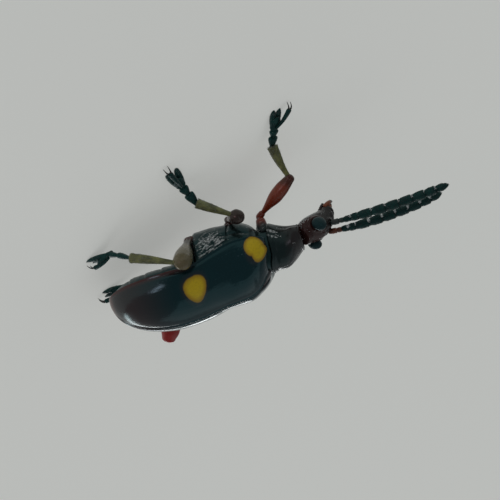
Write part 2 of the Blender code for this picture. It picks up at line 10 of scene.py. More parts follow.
import bmesh
import bpy
import numpy as np
from bpy.props import FloatProperty, FloatVectorProperty, IntProperty, PointerProperty
from mathutils import Matrix, Vector, noise

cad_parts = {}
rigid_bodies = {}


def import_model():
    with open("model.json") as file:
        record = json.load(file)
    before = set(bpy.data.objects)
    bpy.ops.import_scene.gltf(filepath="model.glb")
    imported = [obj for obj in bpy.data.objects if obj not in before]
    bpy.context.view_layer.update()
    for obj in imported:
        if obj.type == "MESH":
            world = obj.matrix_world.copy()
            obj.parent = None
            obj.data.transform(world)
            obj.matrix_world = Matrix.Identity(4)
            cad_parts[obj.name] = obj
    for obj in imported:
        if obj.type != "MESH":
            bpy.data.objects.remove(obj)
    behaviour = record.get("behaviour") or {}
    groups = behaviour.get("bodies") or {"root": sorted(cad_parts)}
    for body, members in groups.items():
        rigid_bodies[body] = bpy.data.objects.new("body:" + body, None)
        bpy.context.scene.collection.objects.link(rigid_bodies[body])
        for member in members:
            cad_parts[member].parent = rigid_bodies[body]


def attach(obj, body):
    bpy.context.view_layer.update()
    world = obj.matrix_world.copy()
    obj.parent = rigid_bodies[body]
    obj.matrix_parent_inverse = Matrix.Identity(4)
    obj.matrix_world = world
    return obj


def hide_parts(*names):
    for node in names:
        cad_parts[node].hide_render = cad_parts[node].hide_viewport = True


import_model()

bl_info = {
    "name": "Lily leaf beetle looks",
    "version": (1, 0, 0),
    "blender": (4, 5, 0),
    "location": "View3D > Sidebar > Beetle",
    "description": "Builds the skin, hair, colours and stage of a life-size lily leaf beetle",
    "category": "Object",
}

MM = 0.001
MERGE = 2e-5
HAIR_BENDS = (0.15, 0.35, 0.55)
TUFT_HAIRS = {"left": 9, "right": 90}

# Way from the head's middle to its lit rim, and from the beetle to the camera
HEAD_RIM, SIGHT = Vector((0.556, 0.388, -0.735)), Vector((-0.095, 0.908, 0.407))
SHEEN = (0.42, 0.88, 0.96, 1.0)
MODEL_MIDDLE = Vector((2.90, -0.15, 0.0))
SIDES = ((1, "left"), (-1, "right"))

# Hind body and pronotum, as in the solids
TIP = Vector((-3.80, 0.0, 1.07))
BODY_PITCH, BODY_ROLL = 21.0, 4.0
ELYTRON_LENGTH, ELYTRON_HALF_WIDTH, ELYTRON_TOP = 6.70, 1.97, 1.75
ELYTRON_WALL, ELYTRON_RIM = 0.42, 0.24
SHELL_WALL = 0.17
SHOULDER_FALL, SHOULDER_MARGIN, BASE_PULL, BASE_HALF_WIDTH = 0.46, 0.60, 0.18, 1.22
SCUTELLUM_LENGTH, SCUTELLUM_HALF_WIDTH = 0.62, 0.26
GAP, TRUNK_GAP = 0.06, 0.08
ABDOMEN_START, ABDOMEN_DEPTH, STERNITES = 0.34, 0.62, 5
THORAX_EXTRA_DEPTH, THORAX_START, THORAX_END = 1.18, 3.85, 6.62
PRONOTUM_START, PRONOTUM_BASE, PRONOTUM_END = 6.60, 6.78, 8.10
PRONOTUM_HALF_WIDTH, PRONOTUM_LOBE = 0.97, 0.16

# Head
NECK = Vector((4.20, -0.03, 3.35))
HEAD_YAW, HEAD_PITCH = -18.0, -25.0
HEAD_LENGTH, NECK_LENGTH = 1.50, 0.25
EYE_FORWARD, EYE_SIDE, EYE_HEIGHT = 0.28, 0.70, 0.36
EYE_RADII = (0.29, 0.21, 0.31)
PALP_JOINTS = ((0.0, 0.36, 0.13), (0.32, 0.56, 0.15), (0.53, 0.76, 0.16), (0.73, 1.0, 0.12))
ANTENNA_BASE = (0.80, 0.33, 0.62)
ANTENNA_WIDTH = 0.40
ANTENNA_SHARES = (0.62, 0.56, 0.66, 0.80, 0.96, 1.0, 1.0, 1.0, 0.98, 0.94, 0.84)
ANTENNA_JOINTS = (0.075, 0.04, 0.055, 0.06, 0.11, 0.115, 0.115, 0.115, 0.11, 0.095, 0.11)
ANTENNA_ENDS = [sum(ANTENNA_JOINTS[:k]) for k in range(len(ANTENNA_JOINTS) + 1)]
ANTENNA_TIPS = {"left": Vector((9.96, 0.10, 5.11)), "right": Vector((9.67, -0.72, 4.90))}
ANTENNA_BOWS = {"left": 0.11, "right": 0.20}

# Legs: hip, knee, ankle, root of the two lobes, claws
LEGS = {
    "front_left": ((3.04, 0.62, 1.90), (4.80, 1.65, 1.72), (4.92, 2.40, 0.46), (5.24, 3.06, 0.27),
                   (6.27, 3.98, 0.0)),
    "front_right": ((3.10, -0.62, 1.90), (3.35, -2.50, 1.95), (3.10, -3.62, 0.78), (3.06, -4.25, 0.30),
                    (2.80, -5.45, 0.0)),
    "middle_left": ((1.90, 0.95, 1.40), (2.13, 2.50, 2.22), (1.09, 2.82, 0.90), (0.95, 3.56, 0.38),
                    (0.70, 5.16, 0.0)),
    "middle_right": ((1.90, -0.95, 1.40), (1.75, -2.60, 2.00), (1.25, -3.50, 0.76), (1.08, -4.10, 0.30),
                     (0.62, -5.30, 0.0)),
    "hind_left": ((0.10, 1.20, 1.30), (-0.78, 2.95, 2.78), (-2.27, 2.60, 1.17), (-2.75, 2.33, 0.42),
                  (-3.72, 1.72, 0.0)),
    "hind_right": ((-0.25, -1.10, 1.00), (-2.53, -3.05, 2.49), (-2.10, -1.35, 0.62), (-2.75, -1.36, 0.28),
                   (-4.02, -1.42, 0.0)),
}
LOBE_HEADINGS = {"front_left": 62.0, "front_right": -98.0, "middle_left": 96.0, "middle_right": -112.0,
                 "hind_left": -150.0, "hind_right": -178.0}
FEMUR_WIDTH = {"front": 0.56, "middle": 0.62, "hind": 0.76}
KNEE_REACH = 0.16
TROCHANTER_RADIUS = {"front": 0.155, "middle": 0.165, "hind": 0.18}
TIBIA_WIDTH, TARSUS_WIDTH = 0.45, 0.42
LOBE_SPREADS = {"front_left": 0.10}
LOBE_SPREAD = 0.18
LOBE_LENGTH, LOBE_WIDTH, LOBE_DEPTH, SOLE_SINK = 1.00, 0.27, 0.24, 0.02
CLAW_LENGTH, CLAW_WIDTH = 0.26, 0.20
COXA_ROOTS = {"front": (2.76, 0.45, 2.62), "middle": (1.85, 0.62, 1.80), "hind": (0.30, 0.50, 1.45)}
COXA_WIDTH = {"front": 0.66, "middle": 0.80, "hind": 0.90}

# Colours of a leg pair: share of the thigh's red at the hip, tint of the thigh, share of it in the dark
# part, and where along the thigh the light part begins and ends. The hind pair's olive tint is painted
# green backlight over the thigh's own dark red, and its knee end lighter than its base is painted light and
# shade
LEG_TINTS = {
    "front": (1.0, (1.0, 1.0, 1.0), 0.28, (0.98, 0.45)),
    "middle": (0.25, (0.40, 1.5, 4.0), 0.28, (0.98, 0.45)),
    "hind": (0.3, (0.62, 3.9, 6.6), 0.22, (0.12, 0.62)),
}

# Map of an elytron: the share across it of the outer face and of the rim, and the outer face's round
OUTER_SHARE, RIM_SHARE, OUTER_ARC = 0.70, 0.06, 2.75
INNER_START = OUTER_SHARE + RIM_SHARE

# Spots of an elytron: softness of the edge, then the eggs that make them up, each with its t, its place
# round the arch, its half length along both and how much it tapers outwards
SPOTS = (0.07, ((3.62, 1.66, 0.45, 0.58, 0.30), (6.25, 2.30, 0.38, 0.42, 0.0),
                (6.40, 1.94, 0.31, 0.46, 0.0)))
SPOT_HAZE = (0.18, ((3.60, 1.64, 0.55, 0.74, 0.25), (6.31, 2.12, 0.48, 0.66, 0.0)))
SPOT_MIDDLES = (0.34, ((3.62, 1.70, 0.36, 0.46, 0.30), (6.25, 2.30, 0.30, 0.34, 0.0),
                       (6.38, 1.98, 0.24, 0.36, 0.0)))

# Broad forms of an elytron: height, t, reach along, turn from the suture in degrees, reach round
ELYTRON_FORMS = (
    (0.045, 5.55, 0.42, 34.0, 20.0),
    (-0.040, 4.70, 0.40, 38.0, 26.0),
    (0.050, 6.05, 0.34, 66.0, 12.0),
    (-0.030, 5.85, 0.42, 50.0, 7.0),
    (-0.020, 1.6, 0.8, 78.0, 8.0),
)

# Patches where the flank and the pronotum's side shine: t, n, tilt, half length and half width of each.
# The flank's patches also raise folds; white hair grows in all of them, partly real pubescence and partly
# painted highlight of the shining folds
FLANK_PATCHES = (
    (4.60, -0.97, -0.35, 0.20, 0.060), (4.42, -0.62, -0.35, 0.18, 0.060), (4.66, -0.46, -0.35, 0.18, 0.040),
    (4.20, -0.30, -0.30, 0.14, 0.050), (5.00, -0.66, -0.35, 0.26, 0.045), (4.24, -0.94, -0.30, 0.12, 0.050),
)
CHEEK_HAIR_AND_GLINT_PATCHES = (
    (7.36, -0.96, 0.30, 0.20, 0.045), (7.12, -0.80, 0.30, 0.18, 0.050), (6.98, -0.60, 0.45, 0.16, 0.035),
    (6.94, -0.88, 0.45, 0.12, 0.035), (7.20, -0.58, 0.40, 0.12, 0.030),
)

# Lamps: direction, distance in mm, width and height in mm, power and colour
LAMPS = {
    "lamp_over": ((-0.10, -0.45, 1.0), 500.0, (520.0, 520.0), 0.22, (1.0, 1.0, 1.0)),
    "lamp_rim": ((-0.60, -1.0, 0.08), 400.0, (500.0, 54.0), 0.50, (1.0, 1.0, 1.0)),
    "lamp_window": ((-0.57, 0.81, 0.16), 300.0, (66.0, 52.0), 0.046, (1.0, 0.64, 0.72)),
}
FLOOR_DROP = 0.00002
SKY = (0.86, 0.90, 0.92)

# Camera: it looks at AIM from DISTANCE along a line that TURN and RISE give, and is rolled by ROLL
AIM = Vector((2.0, 0.0, 2.6))
TURN, RISE, ROLL = math.radians(-6.0), math.radians(24.0), math.radians(36.4)
LENS, SENSOR, PICTURE, PIXELS_PER_MM = 200.0, 36.0, 500, 25.0
DISTANCE = PICTURE / PIXELS_PER_MM * LENS / SENSOR


def smooth_step(x):
    """Rise softly from 0 to 1 as x goes from 0 to 1."""
    x = min(max(x, 0.0), 1.0)
    return x * x * (3.0 - 2.0 * x)


def round_end(distance, reach, power=2.0):
    """Quarter of a superellipse: 0 at an end, 1 from reach inwards."""
    u = 1.0 - min(max(distance / reach, 0.0), 1.0)
    return (1.0 - u ** power) ** (1.0 / power)


def bent(value, power):
    """Signed power, for superellipse sections."""
    return math.copysign(abs(value) ** (2.0 / power), value)


def tinted(colour, *shares):
    """A colour scaled by one share, or by one for each of its parts, and kept below white."""
    if len(shares) == 1:
        shares *= 3
    return tuple(min(a * b, 1.0) for a, b in zip(colour, shares))


def swell(x, centre, width):
    """Bell curve of height 1."""
    return math.exp(-(((x - centre) / width) ** 2))


def turned_frame(yaw, pitch, roll=0.0):
    """Forward, left and up directions after a yaw, a pitch and a roll in degrees."""
    turn = (
        Matrix.Rotation(math.radians(yaw), 3, "Z")
        @ Matrix.Rotation(math.radians(-pitch), 3, "Y")
        @ Matrix.Rotation(math.radians(roll), 3, "X")
    )
    return turn.col[0].copy(), turn.col[1].copy(), turn.col[2].copy()


BODY_AXES = turned_frame(0.0, BODY_PITCH, BODY_ROLL)
HEAD_AXES = turned_frame(HEAD_YAW, HEAD_PITCH)
UP = Vector((0.0, 0.0, 1.0))


def in_body(t, y, n):
    """A point of the hind body's frame in the drawing."""
    return TIP + BODY_AXES[0] * t + BODY_AXES[1] * y + BODY_AXES[2] * n


def in_head(f, y, u):
    """A point of the head's frame in the drawing."""
    return NECK + HEAD_AXES[0] * f + HEAD_AXES[1] * y + HEAD_AXES[2] * u


def body_place(point):
    """The t and n of a point of the drawing."""
    return (point - TIP).dot(BODY_AXES[0]), (point - TIP).dot(BODY_AXES[2])


def crowded(k, count):
    """Shares from 0 to 1 that crowd towards both ends."""
    return 0.5 * (1.0 - math.cos(math.pi * k / count))


def rough(point, size, seed=0.0):
    """Smooth noise between about -1 and 1, with bumps of the given size in mm."""
    return noise.noise(point / size + Vector((seed, 2.0 * seed, 3.0 * seed)))


# Outlines shared with the solids


def elytron_half_width(t):
    """Half width of both elytra at their margin."""
    rear = round_end(t, 3.0, 2.0)
    front = ELYTRON_LENGTH + 0.06 - t
    shoulder = BASE_HALF_WIDTH + (ELYTRON_HALF_WIDTH - BASE_HALF_WIDTH) * round_end(front, 0.95, 2.2)
    return rear * shoulder * (1.0 - 0.05 * smooth_step((t - 3.2) / 2.6))


def elytron_margin(t):
    """Height n of the elytra's lower margin."""
    dip = -SHOULDER_MARGIN * smooth_step((t - 3.3) / 2.35)
    return dip + 0.09 * smooth_step(t / 2.5) + 0.05 * smooth_step((t - 6.2) / 0.5)


def elytron_top(t):
    """Height n of the back along the suture."""
    fall = SHOULDER_FALL * smooth_step((t - 2.5) / 4.0)
    rear = round_end(t, 2.8, 2.15)
    front = 0.30 + 0.70 * round_end(ELYTRON_LENGTH + 0.04 - t, 1.3, 1.7)
    return (ELYTRON_TOP - fall - 0.04 * swell(t, 4.45, 0.42)) * rear * front


def shrunk(profile, t, wall):
    """A profile moved inwards by a wall, also at its rounded ends."""
    return min(profile(t - wall), profile(t), profile(t + wall)) - wall


def suture_side(t):
    """Distance of an elytron's inner edge from the middle, wider beside the scutellum."""
    opening = (t - (ELYTRON_LENGTH - SCUTELLUM_LENGTH)) / SCUTELLUM_LENGTH
    return GAP / 2 + (SCUTELLUM_HALF_WIDTH + GAP) * max(opening, 0.0)


def base_pull(t, share):
    """How far the base of an elytron is drawn back; the share is 1 along the suture."""
    return BASE_PULL * smooth_step((t - 5.5) / (ELYTRON_LENGTH - 5.5)) * smooth_step((share - 0.45) / 0.55)


def underside(t):
    """Height n of the belly and the thorax along the middle."""
    rear = ABDOMEN_DEPTH * round_end(t - 0.1, 1.4)
    deep = THORAX_EXTRA_DEPTH * smooth_step((t - 2.75) / 1.3)
    front = 0.42 + 0.58 * round_end(THORAX_END - 0.06 - t, 1.1, 2.0)
    return -(rear + deep) * front


def antenna_spine(side, word, s):
    """Middle line of an antenna, from its socket to its tip."""
    base = in_head(ANTENNA_BASE[0], side * ANTENNA_BASE[1], ANTENNA_BASE[2])
    return base.lerp(ANTENNA_TIPS[word], s) + UP * (4.0 * ANTENNA_BOWS[word] * s * (1.0 - s))


# Modelling


class Shell:
    """A piece while it is modelled in mm; its map named pattern runs round it and along it."""

    def __init__(self):
        self.bm = bmesh.new()
        self.chart = self.bm.loops.layers.uv.new("pattern")

    def skin(self, across, along, place, chart=None):
        """Lay a grid over a form: place(i, j) gives each corner, chart(u, v) its place on the map."""
        made = bmesh.ops.create_grid(self.bm, x_segments=across, y_segments=along, size=0.5, calc_uvs=True)
        verts = made["verts"]
        if chart:
            loops = {loop for vert in verts for loop in vert.link_loops}
            for loop in loops:
                loop[self.chart].uv = chart(*loop[self.chart].uv)
        for vert in verts:
            vert.co = place(round((vert.co.x + 0.5) * across), round((vert.co.y + 0.5) * along))
        bmesh.ops.remove_doubles(self.bm, verts=verts, dist=MERGE)

    def tube(self, spine, half, hint, rows=28, spokes=24, ends=(0.1, 0.1), strip=(0.0, 1.0), power=2.0,
             relief=None, floor=None):
        """Closed tube round a line: half(s) gives its half width and depth, ends how far the ends round."""
        length = sum((spine((k + 1) / 8) - spine(k / 8)).length for k in range(8))
        stations = []
        for j in range(rows + 1):
            s = crowded(j, rows)
            ahead = (spine(min(s + 0.02, 1.0)) - spine(max(s - 0.02, 0.0))).normalized()
            side = hint.cross(ahead).normalized()
            cap = round_end(s * length, ends[0]) * round_end((1.0 - s) * length, ends[1])
            width, depth = half(s)
            stations.append((s, spine(s), side * (width * cap), ahead.cross(side) * (depth * cap), cap))

        def place(i, j):
            s, centre, side, up, cap = stations[j]
            angle = 2.0 * math.pi * (i % spokes) / spokes
            c, d = math.cos(angle), math.sin(angle)
            offset = side * bent(c, power) + up * bent(d, power)
            if relief and cap > 0.0:
                offset += offset.normalized() * (relief(s, angle) * cap)
            point = centre + offset
            if floor is not None:
                point.z = max(point.z, floor)
            return point

        low, high = strip
        self.skin(spokes, rows, place, lambda u, v: (u, low + (high - low) * crowded(v * rows, rows)))

    def egg(self, centre, axes, around=24, rows=16, strip=(0.0, 1.0), shape=None, floor=None):
        """Closed ellipsoid with three half axes; shape(direction) scales it."""
        def place(i, j):
            turn = 2.0 * math.pi * (i % around) / around
            rise = math.pi * (j / rows - 0.5)
            level = math.cos(rise)
            direction = Vector((math.cos(turn) * level, math.sin(turn) * level, math.sin(rise)))
            scale = shape(direction) if shape else 1.0
            point = centre + sum((axis * (x * scale) for axis, x in zip(axes, direction)), Vector())
            if floor is not None:
                point.z = max(point.z, floor)
            return point

        low, high = strip
        self.skin(around, rows, place, lambda u, v: (u, low + (high - low) * v))

    def finish(self, name, nodes, slot, finish, levels=0):
        """Make the piece an object at the model's place and set it in the frame."""
        bmesh.ops.recalc_face_normals(self.bm, faces=self.bm.faces)
        bmesh.ops.translate(self.bm, verts=self.bm.verts, vec=-MODEL_MIDDLE)
        bmesh.ops.scale(self.bm, verts=self.bm.verts, vec=(MM, MM, MM))
        mesh = bpy.data.meshes.new(name)
        self.bm.to_mesh(mesh)
        self.bm.free()
        return set_in_frame(mesh, name, nodes, slot, finish, levels)


def set_in_frame(mesh, name, nodes, slot, finish, levels=0):
    """Object for a finished mesh, with its finish, what it rides on and what it stands for."""
    mesh.materials.append(finish)
    mesh.shade_smooth()
    piece = bpy.data.objects.new(name, mesh)
    bpy.context.scene.collection.objects.link(piece)
    if levels:
        smoother = piece.modifiers.new("smoother", "SUBSURF")
        smoother.levels = smoother.render_levels = levels
    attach(piece, "root")
    if nodes:
        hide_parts(*nodes)
    return piece


# Hair


def hair_forms(thickness, bends):
    """Coordinates of a few bent hairs one unit long, and the mesh that carries them one by one."""
    bm = bmesh.new()
    bmesh.ops.create_cone(bm, cap_ends=True, segments=3, radius1=0.5 * thickness, radius2=0.06 * thickness,
                          depth=1.0, matrix=Matrix.Translation((0.0, 0.0, 0.5)))
    for height in (0.4, 0.75):
        bmesh.ops.bisect_plane(bm, geom=bm.verts[:] + bm.edges[:] + bm.faces[:], dist=1e-6,
                               plane_co=(0.0, 0.0, height), plane_no=(0.0, 0.0, 1.0))
    bmesh.ops.recalc_face_normals(bm, faces=bm.faces)
    mesh = bpy.data.meshes.new("hair")
    bm.to_mesh(mesh)
    bm.free()
    mesh.uv_layers.new(name="OFBake")
    straight = np.empty(3 * len(mesh.vertices))
    mesh.vertices.foreach_get("co", straight)
    straight = straight.reshape(-1, 3)
    forms = []
    for bend in bends:
        form = straight.copy()
        form[:, 1] += bend * straight[:, 2] ** 2
        form[:, 2] *= 1.0 - 0.5 * bend * bend
        forms.append(form)
    corners = np.empty(len(mesh.loops), int)
    mesh.loops.foreach_get("vertex_index", corners)
    patch = 0.003 * np.column_stack((straight[corners, 0] / thickness, straight[corners, 2] - 0.5))
    return mesh, forms, patch


def roots_on(piece, count, seed, where=None, chart="pattern"):
    """Points spread evenly over a piece, in drawing mm: place, outward direction and place on its map."""
    mesh = piece.data
    mesh.calc_loop_triangles()
    size = len(mesh.loop_triangles)
    loops = np.empty(3 * size, int)
    mesh.loop_triangles.foreach_get("loops", loops)
    corners = np.empty(3 * size, int)
    mesh.loop_triangles.foreach_get("vertices", corners)
    areas = np.empty(size)
    mesh.loop_triangles.foreach_get("area", areas)
    places = np.empty(3 * len(mesh.vertices))
    mesh.vertices.foreach_get("co", places)
    places = places.reshape(-1, 3) / MM + np.array(MODEL_MIDDLE)
    normals = np.empty(3 * len(mesh.vertices))
    mesh.vertices.foreach_get("normal", normals)
    normals = normals.reshape(-1, 3)
    charted = np.empty(2 * len(mesh.loops))
    mesh.uv_layers[chart].uv.foreach_get("vector", charted)
    charted = charted.reshape(-1, 2)
    loops, corners = loops.reshape(-1, 3), corners.reshape(-1, 3)
    if where:
        middles = places[corners].mean(axis=1)
        areas = areas * np.array([where(Vector(p)) for p in middles])
    total = areas.sum()
    if total <= 0.0:
        return []
    draw = np.random.default_rng(seed)
    chosen = draw.choice(size, count, p=areas / total)
    shares = draw.dirichlet((1.0, 1.0, 1.0), count)
    points = (places[corners[chosen]] * shares[:, :, None]).sum(axis=1)
    outward = (normals[corners[chosen]] * shares[:, :, None]).sum(axis=1)
    maps = (charted[loops[chosen]] * shares[:, :, None]).sum(axis=1)
    return [(Vector(p), Vector(d).normalized(), m) for p, d, m in zip(points, outward, maps)]


def toward(direction):
    """Lie of hairs that all lean one way."""
    return lambda point, outward: direction


def coat(name, roots, lie, length, thickness, finish, slot, seed, spread=0.25, lift=0.35):
    """Hairs on their roots: lie(point, outward) gives the way they lean, lift how far they stand off."""
    mesh, forms, patch = hair_forms(thickness / length, HAIR_BENDS)
    draw = np.random.default_rng(seed)
    bm = bmesh.new()
    bm.loops.layers.uv.new("OFBake")
    for point, outward, chart in roots:
        along = lie(point, outward)
        along = along - outward * along.dot(outward)
        along = along.normalized() if along.length > 1e-6 else outward.orthogonal().normalized()
        along = (along + outward.cross(along) * float(draw.normal(0.0, spread))).normalized()
        rise = lift * float(draw.uniform(0.7, 1.3))
        ahead = (along * math.cos(rise) + outward * math.sin(rise)).normalized()
        away = (ahead.cross(outward)).cross(ahead).normalized()
        side = away.cross(ahead)
        size = length * float(draw.uniform(0.65, 1.15)) * MM
        form = forms[int(draw.integers(len(forms)))]
        turn = np.array((side, -away, ahead)) * size
        place = (np.array(point - MODEL_MIDDLE) - 0.04 * length * np.array(outward)) * MM
        mesh.vertices.foreach_set("co", (form @ turn + place).ravel())
        mesh.uv_layers["OFBake"].uv.foreach_set("vector", (patch + chart).ravel())
        bm.from_mesh(mesh)
    made = bpy.data.meshes.new(name)
    bm.to_mesh(made)
    bm.free()
    bpy.data.meshes.remove(mesh)
    return set_in_frame(made, name, (), slot, finish)


# Shader building


class Wire:
    """A shader value: arithmetic on it adds Math nodes."""

    def __init__(self, finish, socket):
        self.finish = finish
        self.socket = socket

    def join(self, operation, first, second):
        return self.finish.node("ShaderNodeMath", {"operation": operation}, {0: first, 1: second})

    def __add__(self, other):
        return self.join("ADD", self, other)

    def __sub__(self, other):
        return self.join("SUBTRACT", self, other)

    def __rsub__(self, other):
        return self.join("SUBTRACT", other, self)

    def __mul__(self, other):
        return self.join("MULTIPLY", self, other)

    def __truediv__(self, other):
        return self.join("DIVIDE", self, other)

    def __pow__(self, other):
        return self.join("POWER", self, other)

    __radd__ = __add__
    __rmul__ = __mul__


class Finish:
    """A material while it is built."""

    def __init__(self, name, **constants):
        self.material = bpy.data.materials.new(name)
        self.material.use_nodes = True
        self.tree = self.material.node_tree
        self.shader = self.tree.nodes["Principled BSDF"]
        for key, value in constants.items():
            self.shader.inputs[key.replace("_", " ")].default_value = value
        self.object = self.node("ShaderNodeTexCoord", output="Object")

    def node(self, kind, settings=None, inputs=None, output=0):
        """Add a node: its settings first, then the values or links of its sockets."""
        made = self.tree.nodes.new(kind)
        for key, value in (settings or {}).items():
            if key == "stops":
                for k, (place, colour) in enumerate(value):
                    elements = made.color_ramp.elements
                    stop = elements[k] if k < len(elements) else elements.new(place)
                    stop.position = place
                    stop.color = (*colour, 1.0)
            else:
                setattr(made, key, value)
        for key, value in (inputs or {}).items():
            self.feed(made.inputs[key], value)
        return Wire(self, made.outputs[output])

    def feed(self, socket, value):
        if isinstance(value, Wire):
            self.tree.links.new(value.socket, socket)
        elif socket.type == "RGBA":
            socket.default_value = (*value, 1.0)
        else:
            socket.default_value = value

    def chart(self):
        """Round and along: the two numbers of the piece's own map."""
        place = self.node("ShaderNodeUVMap", {"uv_map": "pattern"})
        around = self.node("ShaderNodeSeparateXYZ", {}, {0: place})
        return around, Wire(self, around.socket.node.outputs[1])

    def vector(self, x, y, z=0.0):
        return self.node("ShaderNodeCombineXYZ", {}, {0: x, 1: y, 2: z})

    def maths(self, operation, first, second=0.0):
        return self.node("ShaderNodeMath", {"operation": operation}, {0: first, 1: second})

    def soft(self, value, low, high):
        """0 below low, 1 above high and smooth between, or turned round where low is the higher."""
        return self.node("ShaderNodeMapRange", {"interpolation_type": "SMOOTHSTEP"},
                         {0: value, 1: low, 2: high})

    def colour(self, factor, first, second):
        """Mix of two colours."""
        return self.node("ShaderNodeMix", {"data_type": "RGBA"}, {0: factor, 6: first, 7: second}, 2)

    def noise(self, size, detail=2.0, vector=None, roughness=0.5):
        """Noise from about 0.2 to 0.8 with bumps of the given size in mm."""
        place = vector if vector is not None else self.object
        return self.node("ShaderNodeTexNoise", {}, {"Vector": place, "Scale": 1.0 / (size * MM),
                                                    "Detail": detail, "Roughness": roughness})

    def cells(self, size, randomness=1.0):
        """Distance from the middle of cells of the given size in mm."""
        return self.node("ShaderNodeTexVoronoi", {"feature": "F1"},
                         {"Vector": self.object, "Scale": 1.0 / (size * MM), "Randomness": randomness})

    def bump(self, height, depth, under=None):
        """Bump of the given depth in mm, over another where one is given."""
        inputs = {"Height": height, "Distance": depth * MM}
        if under is not None:
            inputs["Normal"] = under
        return self.node("ShaderNodeBump", {}, inputs)

    def give(self, **inputs):
        """Feed the shader and hand back the material."""
        for key, value in inputs.items():
            self.feed(self.shader.inputs[key.replace("_", " ")], value)
        return self.material


def egg_spots(made, t, arc):
    """Function that gives the share of a set of egg-shaped spots on an elytron."""
    drift = (made.noise(0.55, 2.0) - 0.5) * 0.16
    fine = (made.noise(0.10, 2.0) - 0.5) * 0.05

    def spots(edge, eggs):
        share = None
        for t_centre, arc_centre, t_half, arc_half, taper in eggs:
            y = (arc_centre - arc) / arc_half
            x = (t - t_centre) / (t_half * (1.0 - taper * y))
            distance = made.maths("SQRT", x * x + y * y) + drift + fine
            egg = made.soft(distance, 1.0 + edge, 1.0 - edge)
            share = egg if share is None else made.maths("MAXIMUM", share, egg)
        return share

    return spots


def pit_rows(made, looks, share, t):
    """Share of the pits of an elytron, in uneven rows along it."""
    step_length = looks.puncture_step / MM
    lane = share * looks.puncture_rows
    jitter = made.noise(0.3, 1.0) - 0.5
    x = made.maths("FRACT", lane) - 0.5 + jitter * 0.35
    y = made.maths("FRACT", t / step_length + made.maths("FLOOR", lane) * 0.37 + jitter * 1.2) - 0.5
    lane_width = OUTER_ARC / looks.puncture_rows
    distance = made.maths("SQRT", (x * lane_width) ** 2.0 + (y * step_length) ** 2.0)
    return made.soft(distance, 0.040, 0.012)


def elytron_finish(looks):
    """Blue-black shell: brown towards its tip, ochre spots, fine rows of pits along it."""
    made = Finish("elytron_shell", IOR=1.5, Specular_Tint=SHEEN)
    across, along = made.chart()
    share, t = across / OUTER_SHARE, along * ELYTRON_LENGTH
    arc = share * OUTER_ARC
    outside = made.soft(across, 0.735, 0.72)
    spots_of = egg_spots(made, t, arc)
    spots = spots_of(*SPOTS) * outside
    haze = spots_of(*SPOT_HAZE) * outside
    tip = made.soft(t, 3.0, 0.6)

    shell = made.colour(made.noise(0.8, 3.0), looks.shell, tinted(looks.shell, 0.55))
    shell = made.colour(tip * 0.9, shell, looks.tip)
    shell = made.colour(made.soft(share, 0.90, 1.0) * made.soft(t, 4.2, 2.6) * 0.7, shell, looks.edge)
    shell = made.colour(made.soft(t, 0.28, 0.0), shell, looks.edge)
    shell = made.colour(haze * 0.35, shell, looks.tip)
    shell = made.colour(made.soft(across, OUTER_SHARE, OUTER_SHARE + RIM_SHARE), shell, looks.tip)
    mottle = made.soft(made.noise(0.07, 3.0), 0.35, 0.80)
    ochre = made.colour(mottle, looks.spot, tinted(looks.spot, 0.84))
    ochre = made.colour(spots_of(*SPOT_MIDDLES), tinted(looks.spot, 0.55, 0.42, 1.0), ochre)
    base = made.colour(spots, shell, ochre)

    fade = made.soft(t, 1.2, 5.2) * 0.75 + 0.25
    pits = pit_rows(made, looks, share, t) * fade * outside
    creases = made.noise(1000.0, 3.0, made.vector(t * 0.9, arc * 6.5))
    under = made.bump(creases, 0.006, made.bump(made.noise(0.9, 1.0), 0.030))
    under = made.bump(made.cells(0.028), 0.0004, under)
    normal = made.bump(1.0 - pits, looks.puncture_depth / MM, under)
    dull = made.noise(0.35, 4.0, roughness=0.65)
    roughness = 0.06 + dull * 0.12 + spots * 0.34 + tip * 0.08
    return made.give(Base_Color=base, Roughness=roughness, Normal=normal)


def cuticle(name, dark, light, reach=0.5, gloss=0.24, pit=0.05, pit_depth=0.006, grain=0.03,
            gradient=None, sheen=(0.75, 0.92, 0.95, 1.0), shine=0.5):
    """Hard skin between a dark and a light colour, with pits and a fine net of cells."""
    made = Finish(name, IOR=1.5, Specular_Tint=sheen, Specular_IOR_Level=shine)
    cloud = made.noise(reach, 3.0, roughness=0.6)
    if gradient is not None:
        cloud = cloud * 0.5 + gradient(made) * 0.75
    base = made.colour(made.soft(cloud, 0.30, 0.70), dark, light)
    pits = made.soft(made.cells(pit * 2.6), 0.55 / 2.6, 0.1)
    under = made.bump(made.noise(0.35, 2.0), 0.02)
    under = made.bump(made.cells(grain), 0.0015, under)
    normal = made.bump(1.0 - pits, pit_depth, under)
    roughness = gloss + made.noise(0.2, 3.0) * 0.16 + pits * 0.1
    return made.give(Base_Color=base, Roughness=roughness, Normal=normal)


def eye_finish(looks):
    """Compound eye: packed facets with a blue-green sheen."""
    made = Finish("eye_facets", IOR=1.5, Specular_Tint=SHEEN)
    facets = made.cells(looks.facet / MM, 0.25)
    domes = made.soft(facets, 0.75, 0.0)
    cloud = made.noise(0.25, 2.0)
    base = made.colour(made.soft(cloud, 0.3, 0.7), looks.eye, tinted(looks.eye, 1.9))
    base = made.colour(made.soft(facets, 0.45, 0.75), base, tinted(looks.eye, 0.4))
    normal = made.bump(domes, 0.008)
    return made.give(Base_Color=base, Roughness=0.30 + facets * 0.25, Normal=normal)


def felt_finish(name, dark, light, gloss=0.5):
    """Dull finely haired skin of the feelers and feet."""
    made = Finish(name, IOR=1.45, Specular_Tint=SHEEN)
    cloud = made.noise(0.22, 3.0, roughness=0.6)
    base = made.colour(made.soft(cloud, 0.3, 0.72), dark, light)
    grain = made.cells(0.035)
    fold = made.noise(0.12, 3.0)
    normal = made.bump(grain, 0.008, made.bump(fold, 0.012))
    return made.give(Base_Color=base, Roughness=gloss + cloud * 0.2, Normal=normal)


